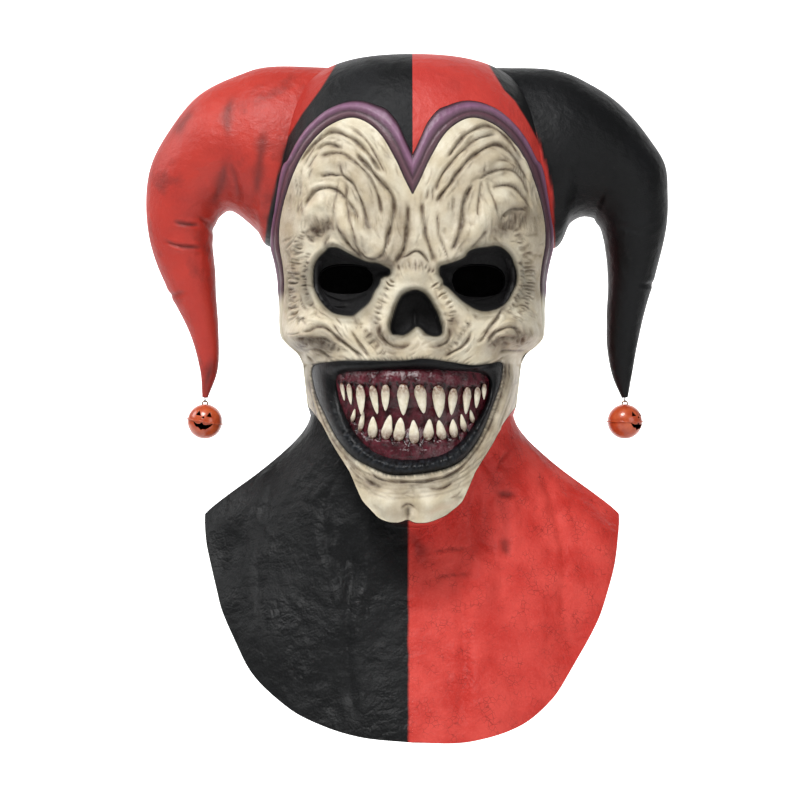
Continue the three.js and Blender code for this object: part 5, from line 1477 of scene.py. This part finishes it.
def make_collar(name, side, creases):
    columns, rows = 260, 130

    def surface(columns, rows, inset):
        turn = np.linspace(0, math.pi, columns)[:, None] * np.ones(rows)
        along = np.linspace(0, 1, rows)[None] + 0 * turn
        signed = side * np.maximum(turn, 1e-6)
        base = collar_point(signed, along)
        mirrored = base * (side, 1, 1)
        normals = grid_normals(mirrored)
        t = (along - COLLAR_SHELF) / (1 - COLLAR_SHELF)
        lift = np.zeros_like(along)
        for at, down, half_turn, half_down, rise in COLLAR_FOLDS:
            q = np.hypot((np.degrees(signed) - at) / half_turn, (t - down) / half_down)
            lift = lift + FOLD_DEPTH * rise * np.where(q < 1, (1 - q**2) ** 2, 0)
        picture = to_picture(base)
        drawn = creases.read(creases.lift, picture) * smooth_step(0.2, 0.3, along)
        fine = 0.35 * ripple(turn * 9 + 2 * along, (2, 3.3, 5.1), 21) * ripple(along * 9, (1, 2.1), 22)
        lift = lift + drawn * (np.cos(turn) > 0) + fine * smooth_step(0.25, 0.5, along)
        placed = mirrored + normals * (lift * (along > 0) - inset)[..., None]
        placed[:, 0] = mirrored[:, 0] + jaw_rim(turn[:, 0]) * inset
        placed[..., 0] = side * (np.maximum(0, placed[..., 0]) + COLOUR_GAP)
        at_chin = (1 - smooth_step(0, 0.16, along)) * (np.cos(turn) > 0)
        placed[..., 2] += chin_rise(placed) * at_chin
        return placed, picture

    outer, picture = surface(columns, rows, 0.0)
    inner, _picture = surface(64, 34, WALL)
    points, outer_faces, inner_faces = sheet_of(outer, inner)
    faces = [outer_faces, inner_faces]
    back, _picture = surface(columns, rows, WALL)
    for line, other in (
            (outer[:, 0], back[:, 0]), (outer[:, -1], back[:, -1]),
            (outer[0], back[0]), (outer[-1], back[-1])):
        points, edge_faces = edge_strip(points, line, other)
        faces.append(edge_faces)
    soot = np.zeros(len(points))
    # Darkening from the drawn folds: painted shade in the dents and under the chin
    soot[: columns * rows] = creases.read(creases.soot, picture).ravel()
    within = np.ones(len(points))
    within[: columns * rows] = 0
    faces = np.vstack(faces)
    return make_mesh(
        name, points, faces if side > 0 else faces[:, ::-1], soot=soot, within=within)


# Bells: cut-outs of a pumpkin's face, in shares of the bell's radius
BELL_EYE = ((0.47, 0.31), (0.31, 0.6), (0.15, 0.31))
BELL_NOSE = ((0.08, 0.19), (0, 0.34), (-0.08, 0.19))
BELL_MOUTH = (
    (0.57, -0.06), (0.2, -0.17), (0.06, -0.16), (0.01, -0.07), (-0.08, -0.07), (-0.15, -0.16),
    (-0.3, -0.17), (-0.57, -0.06), (-0.46, -0.24), (-0.34, -0.36), (-0.22, -0.35),
    (-0.06, -0.5), (0.08, -0.42), (0.2, -0.44), (0.36, -0.33), (0.48, -0.22),
)


def turned(profile, sides, closed=True):
    """Points and faces of a turned shape about Z, from radius and height pairs."""
    profile = np.array(profile, float)
    angle = np.linspace(0, 2 * math.pi, sides, endpoint=False)
    points = np.stack([
        np.cos(angle)[:, None] * profile[:, 0], np.sin(angle)[:, None] * profile[:, 0],
        np.ones(sides)[:, None] * profile[:, 1]], -1)
    count = len(profile)
    quads = grid_quads(sides, count, ring=True)
    if closed:
        first = np.arange(sides) * count
        last = first + count - 1
        quads = np.vstack([quads, strip(last, first, ring=True)])
    return points.reshape(-1, 3), quads[:, ::-1]


def hoop(radius, wire, sides, around):
    a = np.linspace(0, 2 * math.pi, around, endpoint=False)
    return turned(np.stack([radius + wire * np.cos(a), wire * np.sin(a)], -1), sides)


def turn_about(points, axis, degrees):
    c, s = math.cos(math.radians(degrees)), math.sin(math.radians(degrees))
    matrix = {
        "x": np.array([[1, 0, 0], [0, c, -s], [0, s, c]]),
        "y": np.array([[c, 0, s], [0, 1, 0], [-s, 0, c]]),
        "z": np.array([[c, -s, 0], [s, c, 0], [0, 0, 1]]),
    }[axis]
    return points @ matrix.T


def make_bell(name, node, turn, roll):
    """A pressed bell: two half shells crimped together, a face cut through, and a wire loop."""
    low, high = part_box(node)
    middle = np.array([(low[0] + high[0]) / 2, (low[1] + high[1]) / 2, 0]) * 1000
    loop_middle = BELL_RADIUS + LOOP_RADIUS - LOOP_SINK
    middle[2] = high[2] * 1000 - loop_middle - LOOP_RADIUS - LOOP_WIRE
    a = np.linspace(-math.pi / 2, math.pi / 2, 49)
    hole = 0.002
    outer = np.stack([np.maximum(hole, BELL_RADIUS * np.cos(a)), BELL_RADIUS * np.sin(a)], -1)
    thin = BELL_RADIUS - BELL_WALL
    inner = np.stack([np.maximum(hole, thin * np.cos(a)), thin * np.sin(a)], -1)[::-1]
    shell_points, shell_faces = turned(np.vstack([outer, inner]), 96)
    shell = make_mesh(name, shell_points, shell_faces)
    cutters = []
    other_eye = tuple((-x, z) for x, z in BELL_EYE[::-1])
    for number, outline in enumerate((BELL_EYE, other_eye, BELL_NOSE, BELL_MOUTH)):
        flat = np.array(outline) * BELL_RADIUS
        count = len(flat)
        front = np.stack([flat[:, 0], np.full(count, -BELL_RADIUS - 1), flat[:, 1]], -1)
        back = front + (0, BELL_RADIUS, 0)
        mesh = bpy.data.meshes.new(f"{name}_cutter_{number}")
        sides = [tuple(int(n) for n in face) for face in strip(
            np.arange(count), np.arange(count) + count, ring=True)]
        ends = [tuple(range(count))[::-1], tuple(range(count, 2 * count))]
        mesh.from_pydata((np.vstack([front, back]) / 1000).tolist(), [], sides + ends)
        solid = bmesh.new()
        solid.from_mesh(mesh)
        bmesh.ops.recalc_face_normals(solid, faces=solid.faces)
        solid.to_mesh(mesh)
        solid.free()
        cutter = bpy.data.objects.new(mesh.name, mesh)
        bpy.context.scene.collection.objects.link(cutter)
        cutters.append(cutter)
        cut = shell.modifiers.new(f"cut_{number}", "BOOLEAN")
        cut.operation = "DIFFERENCE"
        cut.solver = "EXACT"
        cut.object = cutter
    bpy.context.view_layer.update()
    seen = shell.evaluated_get(bpy.context.evaluated_depsgraph_get())
    made = seen.data
    points = np.empty(len(made.vertices) * 3, np.float32)
    made.vertices.foreach_get("co", points)
    points = points.reshape(-1, 3) * 1000.0
    made.calc_loop_triangles()
    triangles = np.empty(len(made.loop_triangles) * 3, np.int32)
    made.loop_triangles.foreach_get("vertices", triangles)
    triangles = triangles.reshape(-1, 3)
    for cutter in cutters:
        bpy.data.objects.remove(cutter)
    bpy.data.objects.remove(shell)
    half = CRIMP_HEIGHT / 2
    seat, crest = BELL_RADIUS - 0.1, BELL_RADIUS + CRIMP_WIDTH
    bevel = BELL_RADIUS + 0.75 * CRIMP_WIDTH
    crimp_points, crimp_faces = turned((
        (seat, -half), (bevel, -half), (crest, -half / 2), (crest, half / 2), (bevel, half),
        (seat, half)), 96)
    loop_points, loop_faces = hoop(LOOP_RADIUS, LOOP_WIRE, 40, 14)
    loop_points = turn_about(loop_points, "x", 90) + (0, 0, loop_middle)
    body = turn_about(turn_about(np.vstack([points, crimp_points]), "y", roll), "z", turn)
    inside = np.zeros(len(body) + len(loop_points))
    # The inner skin, which the material gives a dark painted shade
    inside[: len(points)] = np.linalg.norm(points, axis=1) < BELL_RADIUS - 0.6 * BELL_WALL
    wire = np.zeros(len(inside))
    wire[len(body):] = 1
    quads = np.vstack([crimp_faces + len(points), loop_faces + len(body)])
    piece = make_mesh(
        name, np.vstack([body, loop_points]) + middle, quads, triangles, within=inside, wire=wire)
    return piece


# Colours, and how each surface was made and what that gives the eye
def colour(code):
    """An sRGB hex colour as the linear colour that a shader takes."""
    parts = [int(code[i:i + 2], 16) / 255 for i in (1, 3, 5)]
    linear = [p / 12.92 if p <= 0.04045 else ((p + 0.055) / 1.055) ** 2.4 for p in parts]
    return (*linear, 1.0)


class Finish:
    """A node material that is built up one node at a time."""

    def __init__(self, name):
        self.material = bpy.data.materials.new(name)
        self.material.use_nodes = True
        self.tree = self.material.node_tree
        self.tree.nodes.clear()

    def add(self, kind, inputs=None, **settings):
        node = self.tree.nodes.new("ShaderNode" + kind)
        for key, value in settings.items():
            setattr(node, key, value)
        for key, value in (inputs or {}).items():
            if isinstance(value, bpy.types.NodeSocket):
                self.tree.links.new(value, node.inputs[key])
            else:
                node.inputs[key].default_value = value
        return node

    def blend(self, share, below, above):
        """One colour laid over another by a share; the last two are colours or outputs."""
        return self.add("Mix", {0: share, 6: below, 7: above}, data_type="RGBA").outputs[2]

    def painted(self, key):
        """A value that the mesh carries at each of its points."""
        return self.add("Attribute", attribute_name=key).outputs["Fac"]

    def grain(self, size, detail=4.0, low=0.35, high=0.65, stretch=(1, 1, 1)):
        """Uneven noise with marks of a size in millimetres, spread from 0 to 1."""
        place = self.add("TexCoord").outputs["Object"]
        scaled = self.add("Mapping", {"Vector": place, "Scale": stretch})
        noise = self.add(
            "TexNoise", {"Vector": scaled.outputs[0], "Scale": 1000.0 / size, "Detail": detail})
        spread = self.add(
            "MapRange", {"Value": noise.outputs["Fac"], "From Min": low, "From Max": high})
        return spread.outputs["Result"]

    def times(self, one, other):
        return self.add("Math", {0: one, 1: other}, operation="MULTIPLY").outputs[0]

    def relief(self, height, millimetres, below=None):
        inputs = {"Height": height, "Distance": millimetres / 1000, "Strength": 1.0}
        if below is not None:
            inputs["Normal"] = below
        return self.add("Bump", inputs).outputs["Normal"]

    def finish(self, base, **inputs):
        named = {key.replace("_", " "): value for key, value in inputs.items()}
        shader = self.add("BsdfPrincipled", {"Base Color": base, **named})
        self.add("OutputMaterial", {"Surface": shader.outputs[0]})
        return self.material


LATEX_IOR = 1.52
# Chalky, powdered coats mirror about half as much light as clean ones
DULL_SHEEN = 0.22
# Near-black for the inside of every shell: a painted shade, as little light gets into the head
INSIDE_SHADE = colour("#1D1C1D")


def bone_latex():
    """Cast latex painted a bone colour, with a thin brown wash wiped out of all but
    the grooves and black airbrushed into the hollows. The brown and the black are also laid
    in the grooves, hollows and broad patches as painted shade, and the inside is a
    near-black painted shade. It is matt with a soft skin."""
    look = Finish("bone_painted_latex")
    mottle = look.grain(14, 5)
    speckle = look.grain(1.6, 6, 0.3, 0.75)
    base = look.blend(mottle, colour("#D3C6AA"), colour("#E9E1CB"))
    base = look.blend(look.times(speckle, 0.22), base, colour("#B9AD8A"))
    streak = look.grain(5, 6, 0.38, 0.62)
    wash = look.painted("wash")
    patchy = look.add("MapRange", {"Value": streak, "To Min": 0.7, "To Max": 1.0}).outputs[0]
    thin = look.times(wash, patchy)
    # Brown wash and painted shade: pale pinkish tan where thin, deep brown where strong
    base = look.blend(thin, base, look.blend(wash, colour("#A28B73"), colour("#452F20")))
    # Black airbrush in the sockets, the nose and round the mouth, and black painted shade in some
    # hollows
    base = look.blend(look.painted("soot"), base, colour("#070608"))
    # The inside: near-black painted shade
    base = look.blend(look.painted("within"), base, INSIDE_SHADE)
    pores = look.relief(look.grain(0.7, 5), 0.05)
    dimples = look.relief(look.grain(3.5, 3), 0.16, pores)
    rough = look.add("MapRange", {"Value": speckle, "To Min": 0.4, "To Max": 0.55}).outputs[0]
    rough = look.add(
        "Math", {0: look.painted("soot"), 1: 0.3, 2: rough}, operation="MULTIPLY_ADD").outputs[0]
    return look.finish(
        base, Roughness=rough, IOR=LATEX_IOR, Specular_IOR_Level=0.35, Normal=dimples)


def band_latex():
    """A raised cord cast with the mask and painted by brush in plum. Its colour follows its
    shape as painted light: a lilac painted highlight on its crest, and dark plum painted
    shade down its inner slope, in its flute and along both edges."""
    look = Finish("plum_painted_latex")
    across = look.painted("across")
    # Colour across the band: painted highlight on the crests, painted shade in the flute and at the
    # edges
    ramp = look.add("ValToRGB", {"Fac": across})
    stops = ramp.color_ramp.elements
    stops[0].position, stops[0].color = 0.0, colour("#2E1B26")
    stops[1].position, stops[1].color = 1.0, colour("#3A2230")
    for place, code in (
            (0.1, "#4A3038"), (0.28, "#66444F"), (0.42, "#3E2530"), (0.54, "#66435A"),
            (0.7, "#8C6280"), (0.86, "#744C68"), (0.94, "#402634")):
        stop = stops.new(place)
        stop.color = colour(code)
    worn = look.grain(4, 6, 0.4, 0.7)
    base = look.blend(look.times(worn, 0.35), ramp.outputs[0], colour("#5C4048"))
    base = look.blend(look.painted("bare"), base, colour("#CFC6A6"))
    bumps = look.relief(look.grain(1.2, 5), 0.08)
    return look.finish(base, Roughness=0.42, IOR=LATEX_IOR, Normal=bumps)


def cap_latex(name, paint, light, dark, soot_strength, rough, scratch, other, sheen):
    """Cast latex under a thin coat of pigmented latex, rubbed on by hand, so that fine
    wrinkles and scuffs show and the shine is low and uneven. The dark colour is also
    laid along the drawn creases as painted shade, and the inside is a near-black painted shade."""
    look = Finish(name)
    broad = look.grain(38, 4)
    smudge = look.grain(24, 8, 0.55, 0.8)
    fine = look.grain(1.4, 7, 0.45, 0.7, stretch=scratch)
    base = look.blend(broad, colour(paint), colour(light))
    base = look.blend(look.times(smudge, soot_strength), base, colour(dark))
    base = look.blend(look.times(fine, 0.3), base, colour(light))
    base = look.blend(look.painted("other"), base, colour(other))
    # Dark colour along the drawn creases and streaks: painted shade in the creases, and dark smudges
    base = look.blend(look.painted("soot"), base, colour(dark))
    # The inside: near-black painted shade
    base = look.blend(look.painted("within"), base, INSIDE_SHADE)
    pores = look.relief(look.grain(1.1, 6, stretch=scratch), 0.09)
    soft = look.relief(look.grain(7, 3), 0.35, pores)
    gloss = look.add("MapRange", {"Value": smudge, "To Min": rough, "To Max": rough + 0.16}).outputs[0]
    return look.finish(
        base, Roughness=gloss, IOR=LATEX_IOR, Specular_IOR_Level=sheen, Normal=soft)


def collar_latex():
    """The same coats as the cap on a thin skirt that has crackled into fine wrinkles.
    The border of red and black down its front is airbrushed, a little left of the gap.
    A dark red is laid in the dents, folds and under the chin as painted shade, and the
    inside is a near-black painted shade."""
    look = Finish("two_colour_collar_latex")
    place = look.add("TexCoord").outputs["Object"]
    x = look.add("SeparateXYZ", {0: place}).outputs["X"]
    wander = look.add("Math", {0: look.grain(9, 3, 0.0, 1.0), 1: -0.5}, operation="ADD").outputs[0]
    edge = look.add(
        "Math", {0: wander, 1: 0.0016, 2: x}, operation="MULTIPLY_ADD").outputs[0]
    red_side = look.add(
        "MapRange", {"Value": edge, "From Min": -0.0036, "From Max": -0.0018}).outputs[0]
    mottle = look.grain(26, 4)
    red = look.blend(mottle, colour("#C4332B"), colour("#DA4B42"))
    black = look.blend(mottle, colour("#060708"), colour("#0E0F10"))
    fine = look.grain(1.2, 7, 0.5, 0.75)
    black = look.blend(look.times(fine, 0.3), black, colour("#303235"))
    red = look.blend(look.times(fine, 0.25), red, colour("#E0625A"))
    scratches = look.add(
        "TexVoronoi", {"Vector": place, "Scale": 1000 / 3.4, "Randomness": 1.0},
        feature="DISTANCE_TO_EDGE")
    thin = look.add("MapRange", {
        "Value": scratches.outputs["Distance"], "From Max": 0.07, "To Min": 1.0, "To Max": 0.0,
    }).outputs[0]
    cracked = look.times(thin, look.grain(11, 5, 0.48, 0.62))
    red = look.blend(look.times(cracked, 0.65), red, colour("#7A1F1B"))
    base = look.blend(red_side, black, red)
    # Dark red painted shade in the dents, the folds and under the chin
    base = look.blend(look.painted("soot"), base, colour("#4A1512"))
    # The inside: near-black painted shade
    base = look.blend(look.painted("within"), base, INSIDE_SHADE)
    cells = look.add(
        "TexVoronoi", {"Vector": place, "Scale": 1000 / 6.5, "Randomness": 1.0},
        feature="DISTANCE_TO_EDGE")
    crackle = look.add(
        "MapRange", {"Value": cells.outputs["Distance"], "From Max": 0.16}).outputs[0]
    pores = look.relief(look.grain(1.4, 6), 0.10)
    wrinkled = look.relief(look.times(crackle, look.grain(30, 3, 0.4, 0.6)), 0.14, pores)
    soft = look.relief(look.grain(14, 3), 0.8, wrinkled)
    rough = look.add("MapRange", {"Value": mottle, "To Min": 0.44, "To Max": 0.58}).outputs[0]
    return look.finish(
        base, Roughness=rough, IOR=LATEX_IOR, Specular_IOR_Level=DULL_SHEEN, Normal=soft)


def lip_latex():
    """Black enamel brushed thickly over the wrinkled lips, with a grey-blue painted highlight on the
    raised lower lip that is partly dry-brushed wear.
    """
    look = Finish("black_lip_enamel_on_latex")
    # Grey-blue painted highlight, partly wear, where the lower lip rises
    worn = look.times(look.painted("worn"), look.grain(3, 5, 0.35, 0.7))
    base = look.blend(worn, colour("#040405"), colour("#2A2F36"))
    bumps = look.relief(look.grain(1.1, 5), 0.12)
    return look.finish(
        base, Roughness=0.32, IOR=LATEX_IOR, Specular_IOR_Level=DULL_SHEEN, Normal=bumps)


def gum_latex():
    """Dark red gloss paint, almost black in the bite, with a near-black painted shade round each root.
    """
    look = Finish("red_gloss_on_gum_latex")
    base = look.blend(look.grain(6, 4), colour("#300A10"), colour("#5C1E2A"))
    # Near-black painted shade round each root
    base = look.blend(look.painted("root"), base, colour("#160508"))
    bumps = look.relief(look.grain(2.2, 4), 0.25)
    return look.finish(base, Roughness=0.2, IOR=LATEX_IOR, Normal=bumps)


def tooth_latex():
    """Ivory gloss paint over hard-cast teeth, darker brown towards the root: partly a brown tint and
    partly painted shade where each tooth meets the gum.
    """
    look = Finish("ivory_gloss_on_cast_teeth")
    base = look.blend(look.grain(3, 5), colour("#E0D6BC"), colour("#F0E9D6"))
    # Brown towards the root: tint and painted shade
    brown_darkening = look.times(look.painted("root"), look.grain(2, 4, 0.1, 0.6))
    base = look.blend(brown_darkening, base, colour("#6E4636"))
    bumps = look.relief(look.grain(1.3, 3), 0.07)
    return look.finish(base, Roughness=0.2, IOR=1.5, Normal=bumps)


def bell_enamel():
    """Orange enamel baked on pressed brass: an even, glossy coat, a dark brown painted
    shade inside, and a bare wire loop."""
    look = Finish("orange_enamel_on_brass")
    base = look.blend(look.grain(5, 4), colour("#B5431F"), colour("#C95A30"))
    # Inside the bell: dark brown painted shade
    base = look.blend(look.painted("within"), base, colour("#2A1710"))
    base = look.blend(look.painted("wire"), base, colour("#A9835A"))
    bumps = look.relief(look.grain(0.8, 3), 0.02)
    return look.finish(
        base, Roughness=0.3, IOR=1.5, Metallic=look.painted("wire"), Normal=bumps, Coat_Weight=0.5,
        Coat_Roughness=0.12)


def plated_steel():
    """Drawn steel wire and balls with a thin bright plating."""
    look = Finish("plated_steel")
    base = look.blend(look.grain(1.5, 3), colour("#9A9A98"), colour("#B4B4B0"))
    return look.finish(base, Roughness=0.3, Metallic=1.0, IOR=2.5)


# The pieces
face_drawing = draw_face()
cap_drawing = draw_cap(CAP_CREASES)
collar_drawing = draw_cap(COLLAR_CREASES)
teeth = tooth_places()

bone, band, collar = bone_latex(), band_latex(), collar_latex()
lip, gum, ivory, enamel, steel = lip_latex(), gum_latex(), tooth_latex(), bell_enamel(), plated_steel()
red_horn_paint = cap_latex(
    "red_horn_latex", "#AE2A1F", "#C23527", "#3A100E", 0.75, 0.5, (1, 1, 1), "#08090A", 0.5)
red_hood_paint = cap_latex(
    "red_hood_latex", "#BC332C", "#CB4037", "#6E201C", 0.35, 0.52, (1, 1, 1), "#08090A", 0.4)
black_horn_paint = cap_latex(
    "black_horn_latex", "#060708", "#0F1012", "#0A0B0C", 0.4, 0.46, (1, 1, 2.4), "#BC332C", DULL_SHEEN)
black_hood_paint = cap_latex(
    "black_hood_latex", "#0A0B0C", "#18191B", "#0C0D0E", 0.4, 0.5, (1, 1, 3.2), "#AE2A1F", DULL_SHEEN)


def put(piece, material, slot, body, *nodes):
    """Gives a piece its material and its body, and hides the nodes it stands for. The slot is not used.
    """
    piece.data.materials.clear()
    piece.data.materials.append(material)
    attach(piece, body)
    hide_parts(*nodes)


put(make_face(face_drawing), bone, "bone_latex", "mask", "face")
put(make_band(), band, "band_latex", "mask", "brow_band")
put(make_lips(), lip, "lip_latex", "mask", "lips")
put(make_gums(teeth), gum, "gum_latex", "mask", "gums")
for number, tooth in enumerate(teeth):
    put(make_tooth(tooth, number), ivory, "tooth_latex", "mask", tooth["name"])
put(make_hood("cap_half_black", -1), black_hood_paint, "black_latex", "mask", "hood_black")
put(make_hood("cap_half_red", 1), red_hood_paint, "red_latex", "mask", "hood_red")
put(make_horn("cap_horn_red", RED_HORN, -1, RED_HORN_REACH, cap_drawing),
    red_horn_paint, "red_latex", "mask", "horn_red")
put(make_horn("cap_horn_black", BLACK_HORN, 1, BLACK_HORN_REACH, cap_drawing),
    black_horn_paint, "black_latex", "mask", "horn_black")
put(make_collar("skirt_black", -1, collar_drawing), collar, "black_latex", "mask", "collar_black")
put(make_collar("skirt_red", 1, collar_drawing), collar, "red_latex", "mask", "collar_red")
put(make_bell("bell_left", "bell_red_horn", -4, 9), enamel, "bell_enamel",
    "bell_on_red_horn", "bell_red_horn")
put(make_bell("bell_right", "bell_black_horn", 50, 0), enamel, "bell_enamel",
    "bell_on_black_horn", "bell_black_horn")
for node in ("screw_eye_red_horn", "screw_eye_black_horn", "pellet_red_horn", "pellet_black_horn"):
    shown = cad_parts[node]
    shown.data.materials.clear()
    shown.data.materials.append(steel)
    shown.data.polygons.foreach_set("use_smooth", [True] * len(shown.data.polygons))


# A pale sweep under and behind the mask: half its width, and its side view
SWEEP_HALF_WIDTH = 2600
SWEEP_COLUMNS = 9
SWEEP_PROFILE = (
    (-2400, -700), (400, -700), (2000, -700), (2250, -690), (2450, -640), (2570, -520),
    (2650, -300), (2670, 2600),
)


def backdrop():
    """White paper whose rear part glows, so that the ground is as white as the picture's."""
    across = np.linspace(-SWEEP_HALF_WIDTH, SWEEP_HALF_WIDTH, SWEEP_COLUMNS)
    points = np.array([[(x, y, z) for y, z in SWEEP_PROFILE] for x in across])
    faces = grid_quads(SWEEP_COLUMNS, len(SWEEP_PROFILE))
    sweep = make_mesh("pale_sweep", points.reshape(-1, 3), faces)
    look = Finish("matt_white_paper")
    base = look.blend(look.grain(60, 3), colour("#FAFAFA"), colour("#FCFCFC"))
    place = look.add("TexCoord").outputs["Object"]
    back = look.add("SeparateXYZ", {0: place}).outputs["Y"]
    lit = look.add("MapRange", {"Value": back, "From Min": 0.2, "From Max": 1.0}).outputs["Result"]
    glow = {"Emission Color": colour("#FFFFFF"), "Emission Strength": lit}
    sweep.data.materials.append(look.finish(base, Roughness=0.9, IOR=1.45, **glow))
    return sweep


backdrop()

world = bpy.data.worlds.new("studio")
bpy.context.scene.world = world
world.use_nodes = True
world.node_tree.nodes["Background"].inputs["Color"].default_value = colour("#FFFFFF")
world.node_tree.nodes["Background"].inputs["Strength"].default_value = 0.16

# Soft lamps: place in metres, size and power, all turned to the middle of the mask
LAMP_AIM = Vector((0, 0, -0.24))
LAMPS = {
    "key": ((-0.45, -1.3, 1.3), 0.7, 34),
    "fill": ((1.4, -1.5, 0.1), 1.0, 8),
    "rim": ((-1.5, 0.1, 0.7), 0.8, 10),
}
for name, (place, size, power) in LAMPS.items():
    lamp = bpy.data.lights.new(name, "AREA")
    lamp.size, lamp.energy = size, power
    shown = bpy.data.objects.new(name, lamp)
    shown.location = place
    aim = LAMP_AIM - shown.location
    shown.rotation_mode = "QUATERNION"
    shown.rotation_quaternion = aim.to_track_quat("-Z", "Y")
    bpy.context.scene.collection.objects.link(shown)

# The lens in millimetres that frames the mask as the picture does
PICTURE_LENS, SENSOR = 125, 36
lens = bpy.data.cameras.new("picture_camera")
lens.lens, lens.sensor_width = PICTURE_LENS, SENSOR
lens.clip_start, lens.clip_end = 0.05, 20
camera = bpy.data.objects.new("picture_camera", lens)
camera.location = (VIEW_X / 1000, -VIEW_DISTANCE / 1000, VIEW_Z / 1000)
camera.rotation_euler = (math.pi / 2, 0, 0)
bpy.context.scene.collection.objects.link(camera)
bpy.context.scene.camera = camera

scene = bpy.context.scene
scene.view_settings.view_transform = "Standard"
scene.view_settings.look = "None"
